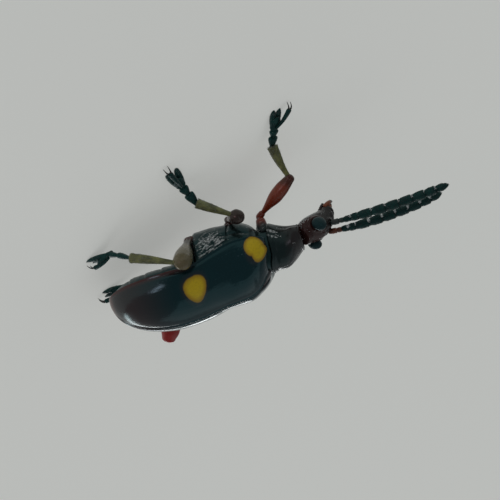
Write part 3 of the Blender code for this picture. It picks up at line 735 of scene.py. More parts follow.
def hair_finish(name, colour, gloss=0.35):
    """Stiff glossy hair, paler here and there."""
    made = Finish(name, IOR=1.5)
    place = made.node("ShaderNodeUVMap", {"uv_map": "OFBake"})
    blend = made.node("ShaderNodeTexNoise", {}, {"Vector": place, "Scale": 60.0, "Detail": 1.0})
    base = made.colour(blend, tinted(colour, 0.55), tinted(colour, 1.25))
    return made.give(Base_Color=base, Roughness=gloss + blend * 0.2)


def leg_gradient(low, high):
    """A colour share that follows the map along a leg piece."""
    def share(made):
        along = made.chart()[1]
        return made.soft(along, low, high)
    return share


# Settings that a user may change


class BeetleLooks(bpy.types.PropertyGroup):
    """Sizes and colours of the beetle's skin and hair."""

    shell: FloatVectorProperty(name="Shell", description="Blue-black of the elytra", subtype="COLOR",
                               default=(0.0022, 0.0165, 0.0215), min=0.0, max=1.0)
    tip: FloatVectorProperty(name="Tip", description="Brown towards the tip of the elytra", subtype="COLOR",
                             default=(0.046, 0.021, 0.020), min=0.0, max=1.0)
    edge: FloatVectorProperty(name="Edge", description="Red-brown of the elytra's outer edge",
                              subtype="COLOR",
                              default=(0.11, 0.018, 0.011), min=0.0, max=1.0)
    spot: FloatVectorProperty(name="Spots", description="Ochre of the four spots", subtype="COLOR",
                              default=(0.64, 0.46, 0.0), min=0.0, max=1.0)
    pronotum: FloatVectorProperty(name="Pronotum", description="Dark red-brown of the pronotum and head",
                                  subtype="COLOR", default=(0.0150, 0.0098, 0.0098), min=0.0, max=1.0)
    belly: FloatVectorProperty(name="Underside", description="Brown-black of thorax and belly",
                               subtype="COLOR",
                               default=(0.0060, 0.0120, 0.0115), min=0.0, max=1.0)
    mouth: FloatVectorProperty(name="Mouthparts", description="Orange-brown of the mouthparts",
                               subtype="COLOR",
                               default=(0.22, 0.055, 0.018), min=0.0, max=1.0)
    eye: FloatVectorProperty(name="Eyes", description="Blue-black of the eyes", subtype="COLOR",
                             default=(0.0018, 0.0085, 0.0100), min=0.0, max=1.0)
    feeler: FloatVectorProperty(name="Antennae", description="Blue-black of the antennae", subtype="COLOR",
                                default=(0.0030, 0.0250, 0.0200), min=0.0, max=1.0)
    thigh: FloatVectorProperty(name="Femora", description="Dark red of the femora", subtype="COLOR",
                               default=(0.19, 0.026, 0.008), min=0.0, max=1.0)
    # Tibiae: own grey-brown with an olive cast that is painted green backlight
    shin: FloatVectorProperty(name="Tibiae", description="Olive-grey of the tibiae", subtype="COLOR",
                              default=(0.195, 0.200, 0.062), min=0.0, max=1.0)
    hair: FloatVectorProperty(name="Pale hair", description="Silver-grey of the short hair",
                              subtype="COLOR",
                              default=(0.60, 0.66, 0.64), min=0.0, max=1.0)
    puncture_rows: IntProperty(name="Rows of pits", description="Rows of pits on one elytron",
                               default=11, min=4, max=20)
    puncture_step: FloatProperty(name="Pit spacing", description="Distance from pit to pit along a row",
                                 default=0.00017, min=0.00005, max=0.001, unit="LENGTH", precision=6)
    puncture_depth: FloatProperty(name="Pit depth", description="Depth of a pit",
                                  default=0.0000035, min=0.0, max=0.0001, unit="LENGTH", precision=6)
    facet: FloatProperty(name="Facet", description="Width of one facet of an eye",
                         default=0.000026, min=0.00001, max=0.0001, unit="LENGTH", precision=6)
    hair_length: FloatProperty(name="Hair length", description="Length of the short silver hair",
                               default=0.00014, min=0.00002, max=0.001, unit="LENGTH", precision=6)
    hair_thickness: FloatProperty(name="Hair thickness", description="Thickness of a hair at its root",
                                  default=0.000013, min=0.000003, max=0.0001, unit="LENGTH", precision=6)


class BeetleStage(bpy.types.PropertyGroup):
    """Floor, light and camera."""

    floor_radius: FloatProperty(name="Floor radius", description="Radius of the round floor", default=1.5,
                                min=0.2, max=10.0, unit="LENGTH")
    floor: FloatVectorProperty(name="Floor", description="Colour of the floor", subtype="COLOR",
                               default=(0.60, 0.61, 0.585), min=0.0, max=1.0)
    glow: FloatProperty(name="Floor glow", description="Light that comes through the floor",
                        default=0.50, min=0.0, max=10.0)
    sky: FloatProperty(name="Sky", description="Strength of the even light from all round",
                       default=0.25, min=0.0, max=10.0)
    lamps: FloatProperty(name="Lamps", description="Strength of the soft lamps",
                         default=1.0, min=0.0, max=10.0)


# Pieces


def elytron_piece(side, word, finish):
    """Arched shell with a beaded suture and margin, a dip behind its base and a boss at the shoulder."""
    shell = Shell()
    arc, rim, rows = 46, 6, 176
    across = 2 * arc + rim + 1
    stations = [(0.0, 1.0), (0.004, 0.45)]
    stations += [(0.015 + (ELYTRON_LENGTH - 0.03) * crowded(k, rows - 4), 0.0) for k in range(rows - 3)]
    stations += [(ELYTRON_LENGTH - 0.004, 0.45), (ELYTRON_LENGTH, 1.0)]
    profiles = []
    for t, closing in stations:
        margin = elytron_margin(t)
        half = elytron_half_width(t)
        top = elytron_top(t)
        edge = suture_side(t)
        inner_half = max(shrunk(elytron_half_width, t, ELYTRON_RIM), 0.5 * (half + edge))
        inner_top = max(shrunk(elytron_top, t, SHELL_WALL), 0.6 * top + 0.4 * margin)
        profiles.append((t, closing, margin, half, top, edge, inner_half, inner_top))

    def relief(t, angle, half, rise):
        """Height of the shell's own modelling over the plain arch."""
        from_suture = half * angle
        from_margin = rise * (0.5 * math.pi - angle)
        height = 0.028 * swell(from_suture, 0.045, 0.035) - 0.020 * swell(from_suture, 0.125, 0.035)
        height += 0.014 * swell(from_margin, 0.02, 0.035) - 0.010 * swell(from_margin, 0.10, 0.045)
        for tall, t_centre, long, turn, wide in ELYTRON_FORMS:
            height += tall * swell(t, t_centre, long) * swell(math.degrees(angle), turn, wide)
        return height * smooth_step(t / 0.35) * smooth_step((ELYTRON_LENGTH - t) / 0.12)

    def place(i, j):
        t, closing, margin, half, top, edge, inner_half, inner_top = profiles[j]
        i %= across
        if i <= arc or i > arc + rim:
            angle = 0.5 * math.pi * crowded(i if i <= arc else across - i - 1, arc)
            c, s = math.cos(angle), math.sin(angle)
            outer = Vector((edge + (half - edge) * s, margin + (top - margin) * c))
            inner = Vector((edge + (inner_half - edge) * s, margin + (inner_top - margin) * c))
            if i <= arc:
                normal = Vector(((top - margin) * s, (half - edge) * c)).normalized()
                point = outer + normal * relief(t, angle, half - edge, top - margin)
            else:
                point = inner
            point = point.lerp(0.5 * (outer + inner), closing)
        else:
            x = (i - arc) / (rim + 1)
            point = Vector((half + (inner_half - half) * x, margin - 0.045 * math.sin(math.pi * x)))
            point = point.lerp(Vector((0.5 * (half + inner_half), margin)), closing)
            c = 0.0
        return in_body(t - base_pull(t, c), side * point.x, point.y)

    def chart(u, v):
        i = round(u * across)
        if i <= arc:
            u = OUTER_SHARE * crowded(i, arc)
        elif i <= arc + rim:
            u = OUTER_SHARE + RIM_SHARE * (i - arc) / (rim + 1)
        else:
            u = INNER_START + (1.0 - INNER_START) * (i - arc - rim) / (arc + 1)
        return u, min(max(stations[round(v * rows)][0] / ELYTRON_LENGTH, 0.0), 1.0)

    shell.skin(across, rows, place, chart)
    return shell.finish(f"elytron_{word}_shell", [f"elytron_{word}"], "elytron", finish)


class BEETLE_OT_elytra(bpy.types.Operator):
    """Model both elytra"""

    bl_idname = "beetle.elytra"
    bl_label = "Elytra"

    def execute(self, context):
        finish = elytron_finish(context.scene.beetle_looks)
        for side, word in SIDES:
            elytron_piece(side, word, finish)
        return {"FINISHED"}


class BEETLE_OT_scutellum(bpy.types.Operator):
    """Model the small shield between the elytra"""

    bl_idname = "beetle.scutellum"
    bl_label = "Scutellum"

    def execute(self, context):
        looks = context.scene.beetle_looks
        shell = Shell()
        start, end = ELYTRON_LENGTH - SCUTELLUM_LENGTH + 0.13, ELYTRON_LENGTH - 0.01

        def spine(s):
            t = start + (end - start) * s
            return in_body(t - base_pull(t, 1.0), 0.0, elytron_top(t) - 0.17)

        def half(s):
            t = start + (end - start) * s
            return suture_side(t) - GAP * 0.8, 0.13

        shell.tube(spine, half, BODY_AXES[2], 24, 36, (0.05, 0.05), power=3.2,
                   relief=lambda s, angle: -0.02 * swell(math.sin(angle), 1.0, 0.3) * swell(s, 0.5, 0.3))
        finish = cuticle("scutellum_skin", looks.pronotum, tinted(looks.pronotum, 1.5), 0.2)
        shell.finish("scutellum_shield", ["scutellum"], "pronotum", finish)
        return {"FINISHED"}


def barrel(shell, ring, first, last, rows, spokes):
    """Closed form through rings; ring(t, angle) gives a point, and both ends close on their middle."""
    caps = (0.0, 0.35, 0.65, 0.86, 0.96)
    stations = [(first, share) for share in caps]
    stations += [(first + (last - first) * crowded(k, rows), 1.0) for k in range(rows + 1)]
    stations += [(last, share) for share in reversed(caps)]
    middles = {}
    for t in (first, last):
        middles[t] = sum((ring(t, 2.0 * math.pi * k / 16) for k in range(16)), Vector()) / 16

    def place(i, j):
        t, share = stations[j]
        point = ring(t, 2.0 * math.pi * (i % spokes) / spokes)
        return middles[t].lerp(point, share) if share < 1.0 else point

    shell.skin(spokes, len(stations) - 1, place, lambda u, v: (u, v))


class BEETLE_OT_pronotum(bpy.types.Operator):
    """Model the pronotum with its waist, base groove and underside"""

    bl_idname = "beetle.pronotum"
    bl_label = "Pronotum"

    def execute(self, context):
        looks = context.scene.beetle_looks
        shell = Shell()

        def ring(t, angle):
            s = min(max((t - PRONOTUM_START) / (PRONOTUM_END - PRONOTUM_START), 0.0), 1.0)
            waist = 0.15 * swell(s, 0.50, 0.24)
            half_width = PRONOTUM_HALF_WIDTH * (1.0 - waist - 0.16 * smooth_step((s - 0.70) / 0.3))
            top = 0.60 - 0.32 * s - 0.44 * smooth_step((s - 0.45) / 0.6) - 0.03 * swell(s, 0.26, 0.10)
            bottom = -1.52 + 0.44 * smooth_step(s / 0.9)
            inside = min(t - PRONOTUM_BASE, PRONOTUM_END - t)
            edge = 0.86 + 0.14 * round_end(inside, 0.13)
            middle, half_height = 0.5 * (top + bottom), 0.5 * (top - bottom) * edge
            c, d = math.cos(angle), math.sin(angle)
            y, n = half_width * edge * bent(c, 2.15), half_height * bent(d, 2.15)
            outward = Vector((y, n)).normalized()
            back = smooth_step(0.5 + d)
            # Furrow across the back, ahead of the base
            relief = -0.030 * swell(s, 0.27, 0.045) * back
            # Raised rims at both ends, with a groove inside
            relief += 0.022 * swell(inside, 0.05, 0.035)
            relief -= 0.016 * swell(inside, 0.12, 0.03)
            # Faint line along the middle
            relief -= 0.014 * swell(y, 0.0, 0.06) * back * swell(s, 0.62, 0.22)
            # Bulge at the front corners
            relief += 0.030 * swell(s, 0.80, 0.10) * swell(abs(c), 0.95, 0.25)
            # Seam above the front hips
            relief -= 0.045 * swell(d, -0.62, 0.10) * (1.0 - swell(s, 0.25, 0.3))
            relief += 0.012 * rough(in_body(t, y, n), 0.35, 3.0)
            y += outward.x * relief
            n += outward.y * relief
            lobe = (1.0 - smooth_step((t - PRONOTUM_BASE) / 0.5)) * smooth_step(2.0 * d - 1.0)
            return in_body(t - PRONOTUM_LOBE * lobe, y, middle + n)

        barrel(shell, ring, PRONOTUM_BASE, PRONOTUM_END, 84, 120)
        finish = cuticle("pronotum_skin", tinted(looks.belly, 1.1),
                         tinted(looks.pronotum, 1.7), 0.6, 0.15, 0.035, 0.0015,
                         gradient=leg_gradient(0.25, 1.0), sheen=(0.50, 0.72, 0.76, 1.0), shine=0.42)
        shell.finish("pronotum_shield", ["pronotum"], "pronotum", finish)
        return {"FINISHED"}


class BEETLE_OT_head(bpy.types.Operator):
    """Model the head capsule with its neck, brow grooves, sockets and face"""

    bl_idname = "beetle.head"
    bl_label = "Head"

    def execute(self, context):
        looks = context.scene.beetle_looks
        shell = Shell()
        forward, aside, height = ANTENNA_BASE
        eyes = [Vector((EYE_FORWARD, side * EYE_SIDE, EYE_HEIGHT)) for side, word in SIDES]
        sockets = [Vector((forward, side * aside, height)) for side, word in SIDES]

        def ring(f, angle):
            s = min(max((f + NECK_LENGTH) / (HEAD_LENGTH + NECK_LENGTH), 0.0), 1.0)
            half_width = 0.50 + 0.20 * swell(f, 0.35, 0.36) - 0.14 * smooth_step((f - 0.6) / 0.9)
            top = 0.40 + 0.26 * smooth_step((f + 0.1) / 0.6) - 0.22 * smooth_step((f - 0.9) / 0.75)
            bottom = -0.48 + 0.42 * smooth_step((f + 0.2) / 1.9)
            edge = 0.80 + 0.20 * round_end(min(s, 1.0 - s), 0.10)
            middle, half_height = 0.5 * (top + bottom), 0.5 * (top - bottom) * edge
            c, d = math.cos(angle), math.sin(angle)
            y, u = half_width * edge * bent(c, 2.1), half_height * bent(d, 2.1)
            outward = Vector((y, u)).normalized()
            here = Vector((f, y, middle + u))
            above = smooth_step(0.3 + d)
            relief = 0.0
            for eye in eyes:
                away = (here - eye).length
                relief += 0.045 * swell(away, 0.37, 0.05) - 0.11 * swell(away, 0.0, 0.26)
            for socket in sockets:
                away = (here - socket).length
                relief += 0.050 * swell(away, 0.17, 0.06) - 0.060 * swell(away, 0.0, 0.10)
            ahead = 0.10 + 0.55 * abs(f - 0.58)
            # Crossed furrows of the forehead
            relief -= 0.034 * swell(abs(y), ahead, 0.032) * above * swell(f, 0.58, 0.32)
            # Two low humps of the crown
            relief += 0.040 * above * swell(f, 0.20, 0.22) * swell(y, 0.0, 0.26)
            relief -= 0.020 * above * swell(y, 0.0, 0.025) * swell(f, 0.28, 0.20)
            # Face and the groove before the lip
            relief += 0.035 * above * swell(f, 1.12, 0.16) * swell(y, 0.0, 0.22)
            relief -= 0.028 * above * swell(f, 1.36, 0.035)
            # Cheek
            cheek = swell(d, -0.25, 0.35) * swell(f, 0.85, 0.25)
            relief += 0.040 * cheek
            # Neck: a groove and fine rings
            relief -= 0.018 * swell(f, -0.02, 0.06) * (0.4 + 0.6 * above)
            relief += 0.006 * math.sin(70.0 * f) * smooth_step((0.02 - f) / 0.12)
            # Groove under the mouth
            relief -= 0.030 * swell(f, 1.18, 0.05) * swell(d, -0.75, 0.3)
            relief += 0.010 * rough(here, 0.22, 5.0)
            return in_head(f, y + outward.x * relief, middle + u + outward.y * relief)

        barrel(shell, ring, -NECK_LENGTH, HEAD_LENGTH, 110, 132)
        neck = tinted(looks.pronotum, 2.7, 1.5, 1.3)
        finish = cuticle("head_skin", tinted(looks.pronotum, 1.2), neck, 0.45, 0.17, 0.030, 0.003,
                         gradient=leg_gradient(0.58, 0.30), sheen=(0.55, 0.66, 0.66, 1.0), shine=0.36)
        shell.finish("head_capsule", ["head"], "head", finish)
        return {"FINISHED"}


class BEETLE_OT_eyes(bpy.types.Operator):
    """Model the two notched compound eyes"""

    bl_idname = "beetle.eyes"
    bl_label = "Eyes"

    def execute(self, context):
        finish = eye_finish(context.scene.beetle_looks)
        for side, word in SIDES:
            shell = Shell()
            centre = in_head(EYE_FORWARD, side * EYE_SIDE, EYE_HEIGHT)
            axes = [axis * radius for axis, radius in zip(HEAD_AXES, EYE_RADII)]
            notch = Vector((0.86, -0.25 * side, 0.45)).normalized()

            def shape(direction):
                return 1.0 - 0.26 * swell((direction - notch).length, 0.0, 0.42)

            shell.egg(centre, axes, 72, 44, shape=shape)
            shell.finish(f"eye_{word}_facets", [f"eye_{word}"], "eye", finish)
        return {"FINISHED"}


class BEETLE_OT_mouth(bpy.types.Operator):
    """Model the upper lip, the mandibles and the palps"""

    bl_idname = "beetle.mouth"
    bl_label = "Mouthparts"

    def execute(self, context):
        looks = context.scene.beetle_looks
        dark = tinted(looks.mouth, 0.25)
        skin = cuticle("mouth_skin", dark, looks.mouth, 0.25, 0.28, 0.03, 0.003,
                       gradient=leg_gradient(0.9, 0.2))
        palp_skin = cuticle("palp_skin", (0.010, 0.008, 0.008), dark, 0.25, 0.30, 0.03, 0.003)
        horn = cuticle("mandible_horn", (0.006, 0.004, 0.004), looks.mouth, 0.3, 0.18, 0.03, 0.002,
                       gradient=leg_gradient(0.8, 0.3))
        up = HEAD_AXES[2]
        shell = Shell()
        lip_base, lip_tip = in_head(HEAD_LENGTH - 0.10, 0.0, 0.20), in_head(HEAD_LENGTH + 0.24, 0.0, 0.11)

        def lip_half(s):
            return 0.5 * (0.54 - 0.12 * s), 0.5 * (0.26 - 0.10 * s)

        shell.tube(lambda s: lip_base.lerp(lip_tip, s), lip_half, up, 30, 44, (0.08, 0.13), power=2.6,
                   relief=lambda s, angle: -0.035 * swell(s, 1.0, 0.3) * swell(math.cos(angle), 0.0, 0.35))
        shell.finish("labrum_plate", ["labrum"], "mouth", skin)
        for side, word in SIDES:
            self.mandible(side, word, horn)
            self.palp(side, word, palp_skin)
        return {"FINISHED"}

    def mandible(self, side, word, horn):
        """Curved jaw that narrows to its tip."""
        shell = Shell()
        base = Vector((HEAD_LENGTH - 0.12, 0.20, 0.02))
        tip = Vector((HEAD_LENGTH + 0.40, 0.07, 0.05))

        def jaw(s):
            f, y, u = base.lerp(tip, s)
            return in_head(f, side * (y + 0.12 * math.sin(math.pi * s) * (1.0 - 0.3 * s)), u)

        shell.tube(jaw, lambda s: (0.140 * (1.0 - 0.62 * s ** 1.3), 0.12 * (1.0 - 0.50 * s)), HEAD_AXES[2],
                   34, 28, (0.05, 0.05),
                   relief=lambda s, angle: 0.012 * swell(s, 0.72, 0.05) * max(math.cos(angle), 0.0))
        shell.finish(f"mandible_{word}_horn", [f"mandible_{word}"], "mouth", horn)

    def palp(self, side, word, palp_skin):
        """Outer palp of four joints and the small inner one."""
        shell = Shell()
        up = HEAD_AXES[2]
        start, end = Vector((HEAD_LENGTH - 0.42, 0.16, -0.08)), Vector((HEAD_LENGTH + 0.06, 0.13, -0.14))
        for k, (first, last, width) in enumerate(PALP_JOINTS):
            def outer(s):
                f, y, u = start.lerp(end, first + (last - first) * s)
                return in_head(f, side * y, u)

            shell.tube(outer, lambda s: (0.5 * width * (0.72 + 0.28 * smooth_step(s / 0.7)),) * 2, up,
                       14, 18, (0.03, 0.04), (0.25 * k, 0.25 * k + 0.24))
        inner_start = Vector((HEAD_LENGTH - 0.20, 0.07, -0.14))
        inner_end = Vector((HEAD_LENGTH + 0.10, 0.05, -0.20))

        def inner(s):
            f, y, u = inner_start.lerp(inner_end, s)
            return in_head(f, side * y, u)

        shell.tube(inner, lambda s: (0.042 - 0.012 * s,) * 2, up, 14, 14, (0.02, 0.02), (0.0, 0.2))
        shell.finish(f"palp_{word}_joints", [f"palp_{word}"], "mouth", palp_skin)


class BEETLE_OT_antennae(bpy.types.Operator):
    """Model the eleven joints of each antenna"""

    bl_idname = "beetle.antennae"
    bl_label = "Antennae"

    def execute(self, context):
        looks = context.scene.beetle_looks
        red = tinted(looks.mouth, 0.3)
        scapes = {
            "left": cuticle("scape_dark", looks.feeler, (0.030, 0.030, 0.028), 0.3, 0.3, 0.03, 0.003),
            "right": cuticle("scape_red", red, looks.mouth, 0.3, 0.3, 0.03, 0.003),
        }
        blue = felt_finish("antenna_skin", tinted(looks.feeler, 0.6), tinted(looks.feeler, 1.3))
        for side, word in SIDES:
            self.joints(side, word, "scape", range(2), "mouth", scapes[word])
            self.joints(side, word, "flagellum", range(2, 11), "antenna", blue)
        return {"FINISHED"}

    def joints(self, side, word, label, joints, slot, finish):
        """Some of the joints of an antenna as one piece."""
        shell = Shell()
        for k, joint in enumerate(joints):
            size = ANTENNA_WIDTH * ANTENNA_SHARES[joint]
            low = ANTENNA_ENDS[joint] - (0.012 if joint else 0.0)
            high = ANTENNA_ENDS[joint + 1]
            last = joint == len(ANTENNA_JOINTS) - 1

            def spine(s):
                return antenna_spine(side, word, low + (high - low) * s)

            def half(s):
                share = 0.76 + 0.24 * smooth_step((s - 0.02) / 0.45) - 0.04 * smooth_step((s - 0.80) / 0.20)
                if last:
                    share *= 1.0 - 0.50 * smooth_step((s - 0.45) / 0.55)
                return 0.5 * size * share, 0.46 * size * share

            strip = (k / len(joints), (k + 0.98) / len(joints))
            shell.tube(spine, half, UP, 22, 26, (0.05, 0.12 if last else 0.06), strip, power=2.15,
                       relief=lambda s, angle: 0.010 * rough(spine(s) + Vector((0, 0, angle)), 0.12, 1.0))
        shell.finish(f"antenna_{label}_{word}_joints", [f"antenna_{label}_{word}"], slot, finish)


def in_patches(t, n, patches):
    """Share from 0 to 1 that a place of the hind body lies on one of the thin patches."""
    share = 0.0
    for t_middle, n_middle, tilt, long, wide in patches:
        ahead, aside = t - t_middle, n - n_middle
        x = ahead * math.cos(tilt) + aside * math.sin(tilt)
        z = aside * math.cos(tilt) - ahead * math.sin(tilt)
        share = max(share, swell(x, 0.0, long) * swell(z, 0.0, wide))
    return smooth_step(1.5 * share - 0.15)


def flank_folds(t, n):
    """Share from 0 to 1 of the fine folds that net the flank below the elytra."""
    x, z = 0.94 * t - 0.34 * n, 0.94 * n + 0.34 * t
    line = abs(noise.noise(Vector((x / 0.62, z / 0.085, 4.0))))
    patch = smooth_step(1.6 * swell(t, 4.62, 0.50) * swell(n, -0.78, 0.52) - 0.1)
    return max(smooth_step((0.17 - line) / 0.12) * patch, in_patches(t, n, FLANK_PATCHES))


def trunk_point(t, angle, drop_more=0.0):
    """y and n of the thorax and belly under the elytra; the angle is 0 at the left and turns up."""
    margin = elytron_margin(t)
    half_width = max(shrunk(elytron_half_width, t, ELYTRON_RIM + TRUNK_GAP), 0.05)
    rise = max(shrunk(elytron_top, t, ELYTRON_WALL + TRUNK_GAP) - margin, 0.05)
    drop = margin - underside(t) + drop_more
    c, d = math.cos(angle), math.sin(angle)
    return half_width * c, margin + (rise if d > 0.0 else drop) * d


class BEETLE_OT_trunk(bpy.types.Operator):
    """Model the hind thorax with its side plates and the belly with its five rings"""

    bl_idname = "beetle.trunk"
    bl_label = "Thorax and belly"

    def execute(self, context):
        looks = context.scene.beetle_looks
        finish = cuticle("belly_skin", tinted(looks.belly, 0.6),
                         tinted(looks.belly, 2.0), 0.5, 0.22, 0.04, 0.004, sheen=SHEEN)

        def thorax_ring(t, angle):
            y, n = trunk_point(t, angle)
            outward = Vector((math.cos(angle), math.sin(angle)))
            c, d = abs(math.cos(angle)), math.sin(angle)
            below = smooth_step(0.15 - 1.4 * d)
            side_line = -0.42 + 0.10 * (t - 5.0)
            relief = -0.050 * swell(d, side_line, 0.045) * smooth_step((6.2 - t) / 0.2)
            relief += 0.040 * swell(d, side_line - 0.30, 0.20)
            relief += 0.022 * swell(d, side_line + 0.16, 0.10)
            relief -= 0.045 * swell(t, 5.62 - 0.35 * c, 0.045) * below
            relief -= 0.030 * below * swell(c, 0.0, 0.035) * smooth_step((5.4 - t) / 0.3)
            relief += 0.035 * below * swell(t, 4.6, 0.5)
            relief -= 0.040 * below * swell(t, THORAX_START, 0.10)
            here = in_body(t, y, n)
            relief += 0.012 * rough(here, 0.30, 7.0) + 0.008 * rough(here, 0.11, 9.0)
            relief += 0.045 * flank_folds(t, n)
            return in_body(t, y + outward.x * relief, n + outward.y * relief)

        shell = Shell()
        barrel(shell, thorax_ring, THORAX_START + 0.5 * GAP, THORAX_END, 150, 230)
        shell.tube(lambda s: in_body(6.42 + 0.56 * s, 0.0, -0.42),
                   lambda s: (0.80 - 0.05 * s, 0.92 - 0.08 * s),
                   BODY_AXES[2], 16, 48, (0.05, 0.05), power=2.3)
        shell.finish("hind_thorax_plates", ["hind_thorax"], "underside", finish)
        end = THORAX_START - 0.5 * GAP
        pitch = (end - ABDOMEN_START) / STERNITES

        def belly_ring(t, angle):
            step = (t - ABDOMEN_START) / pitch
            part = step - math.floor(min(step, STERNITES - 0.001))
            below = smooth_step(0.25 - 1.6 * math.sin(angle))
            plate = 0.05 * (1.0 - part) - 0.05 * swell(part, 0.0, 0.05) * (step > 0.5)
            y, n = trunk_point(t, angle, plate * 0.9)
            outward = Vector((math.cos(angle), math.sin(angle)))
            relief = -0.02 * below * swell(part, 0.96, 0.05)
            relief -= 0.018 * swell(math.sin(angle), -0.22, 0.05)
            relief += 0.010 * rough(in_body(t, y, n), 0.28, 11.0)
            return in_body(t, y + outward.x * relief, n + outward.y * relief)

        shell = Shell()
        barrel(shell, belly_ring, ABDOMEN_START, end, 150, 120)
        shell.finish("abdomen_rings", ["abdomen"], "underside", finish)
        return {"FINISHED"}


class Leg:
    """Places and directions of one leg."""

    def __init__(self, name):
        self.pair, word = name.split("_")
        self.hip, self.knee, self.ankle, self.root, self.toe = (Vector(point) for point in LEGS[name])
        forward, aside, height = COXA_ROOTS[self.pair]
        self.coxa = Vector((forward, aside if word == "left" else -aside, height))
        self.thigh = (self.knee - self.hip).normalized()
        self.shin = (self.ankle - self.knee).normalized()
        self.bend = (self.knee - self.hip).cross(self.ankle - self.knee).normalized()
        heading = math.radians(LOBE_HEADINGS[name])
        self.ahead = Vector((math.cos(heading), math.sin(heading), 0.0))


class BEETLE_OT_legs(bpy.types.Operator):
    """Model the six legs: coxa, trochanter, femur, tibia, tarsus and claws"""

    bl_idname = "beetle.legs"
    bl_label = "Legs"

    def execute(self, context):
        looks = context.scene.beetle_looks
        hip_skins, thigh_skins = {}, {}
        for pair, (share, tint, deep, reach) in LEG_TINTS.items():
            red = tinted(looks.thigh, share)
            hip_skins[pair] = cuticle(f"coxa_{pair}", looks.belly, red, 0.3, 0.24, 0.03, 0.003,
                                      gradient=leg_gradient(0.10, 0.80))
            light = tinted(looks.thigh, *tint)
            thigh_skins[pair] = cuticle(f"femur_{pair}", tinted(light, deep), light, 0.5, 0.18, 0.03, 0.002,
                                        gradient=leg_gradient(*reach), sheen=(1.0, 0.93, 0.86, 1.0))
        # Right hind thigh: dark red turning bright red towards the knee, the bright red a painted glow of
        # light shining through it
        thigh_skins["knee"] = cuticle("femur_red_backlit_knee", tinted(looks.thigh, 0.30), (0.33, 0.010, 0.006), 0.4,
                                      0.22, 0.03, 0.002, gradient=leg_gradient(0.62, 0.90))
        # Tibiae: own grey-brown with an olive cast that is painted green backlight
        backlit_shin_skin = cuticle("tibia_skin_backlit", tinted(looks.shin, 0.35), looks.shin, 0.3, 0.34, 0.028, 0.006)
        foot_skin = felt_finish("tarsus_skin", tinted(looks.feeler, 0.6), tinted(looks.feeler, 1.6), 0.42)
        claw_skin = cuticle("claw_horn", (0.006, 0.006, 0.006), (0.03, 0.018, 0.012), 0.2, 0.3, 0.02, 0.001)
        for name in LEGS:
            pair = name.split("_")[0]
            self.hip(name, hip_skins[pair])
            # The right hind thigh takes the finish with the painted backlit knee
            self.thigh(name, thigh_skins["knee" if name == "hind_right" else pair])
            self.shin(name, backlit_shin_skin)
            self.foot(name, foot_skin, claw_skin)
        return {"FINISHED"}

    def hip(self, name, skin):
        """Coxa and trochanter."""
        leg = Leg(name)
        base, neck = leg.coxa, leg.coxa.lerp(leg.hip, 0.98)
        width, ring = COXA_WIDTH[leg.pair], TROCHANTER_RADIUS[leg.pair]
        shell = Shell()
        shell.tube(lambda s: base.lerp(neck, s),
                   lambda s: (0.5 * width * (1.0 - 0.46 * s), 0.46 * width * (1.0 - 0.46 * s)),
                   Vector((1.0, 0.0, 0.0)), 34, 34, (0.2, 0.16), (0.0, 0.6),
                   relief=lambda s, angle: 0.012 * rough(Vector((s, angle, 0)), 0.4))
        start, end = leg.hip - leg.thigh * 0.16, leg.hip + leg.thigh * 0.26
        shell.tube(lambda s: start.lerp(end, s),
                   lambda s: (ring * (1.0 - 0.16 * s), ring * (0.95 - 0.16 * s)),
                   leg.bend, 28, 30, (0.20, 0.10), (0.65, 1.0))
        shell.finish(f"leg_{name}_hip", [f"leg_{name}_coxa"], "leg", skin)

    def thigh(self, name, skin):
        """Femur, swollen past its middle."""
        leg = Leg(name)
        start, end = leg.hip + leg.thigh * 0.12, leg.knee + leg.thigh * KNEE_REACH
        width = FEMUR_WIDTH[leg.pair]
        late = {"front": 0.0, "middle": 0.24, "hind": 0.22}[leg.pair]
        slim = 0.34 if leg.pair == "front" else 0.40

        def femur_half(s):
            swelling = smooth_step((s - 0.02) / (0.50 + late))
            share = slim + (1.0 - slim) * swelling - 0.34 * smooth_step((s - 0.62 - late) / (0.38 - late))
            return 0.5 * width * share, 0.47 * width * share

        def femur_relief(s, angle):
            groove = 0.030 * swell(s, 0.95, 0.07) * swell(math.cos(angle), 0.0, 0.25)
            return 0.006 * rough(Vector((3.0 * s, angle, 1.0)), 0.5) - groove

        shell = Shell()
        shell.tube(lambda s: start.lerp(end, s), femur_half, leg.bend, 46, 36, (0.05, 0.13),
                   relief=femur_relief)
        shell.finish(f"leg_{name}_thigh", [f"leg_{name}_femur"], "leg", skin)

    def shin(self, name, skin):
        """Tibia, a little bent and wider towards the foot."""
        leg = Leg(name)
        inward = leg.bend.cross(leg.ankle - leg.knee).normalized()

        def tibia_spine(s):
            return leg.knee.lerp(leg.ankle, s) + inward * (0.05 * math.sin(math.pi * s))

        def tibia_half(s):
            share = 0.44 + 0.46 * smooth_step((s - 0.10) / 0.80) + 0.10 * smooth_step((s - 0.88) / 0.12)
            return 0.5 * TIBIA_WIDTH * share, 0.45 * TIBIA_WIDTH * share

        shell = Shell()
        shell.tube(tibia_spine, tibia_half, leg.bend, 50, 32, (0.08, 0.05),
                   relief=lambda s, angle: 0.010 * math.cos(4.0 * angle) * swell(s, 0.6, 0.4))
        shell.finish(f"leg_{name}_shin", [f"leg_{name}_tibia"], "tibia", skin)

    def foot(self, name, foot_skin, claw_skin):
        """Two triangular joints, the two lobes, the last joint and the two claws."""
        leg = Leg(name)
        ankle, root, toe, ahead = leg.ankle, leg.root, leg.toe, leg.ahead
        across = UP.cross(ahead)
        shell = Shell()
        half = 0.5 * TARSUS_WIDTH

        def triangle(first, last, wide, strip):
            def shape(s):
                share = 0.44 + 0.56 * smooth_step(s / 0.85)
                return half * wide * share, half * wide * 0.58 * share

            shell.tube(lambda s: first.lerp(last, s), shape, UP, 24, 26, (0.05, 0.07), strip, power=2.3,
                       floor=0.0)

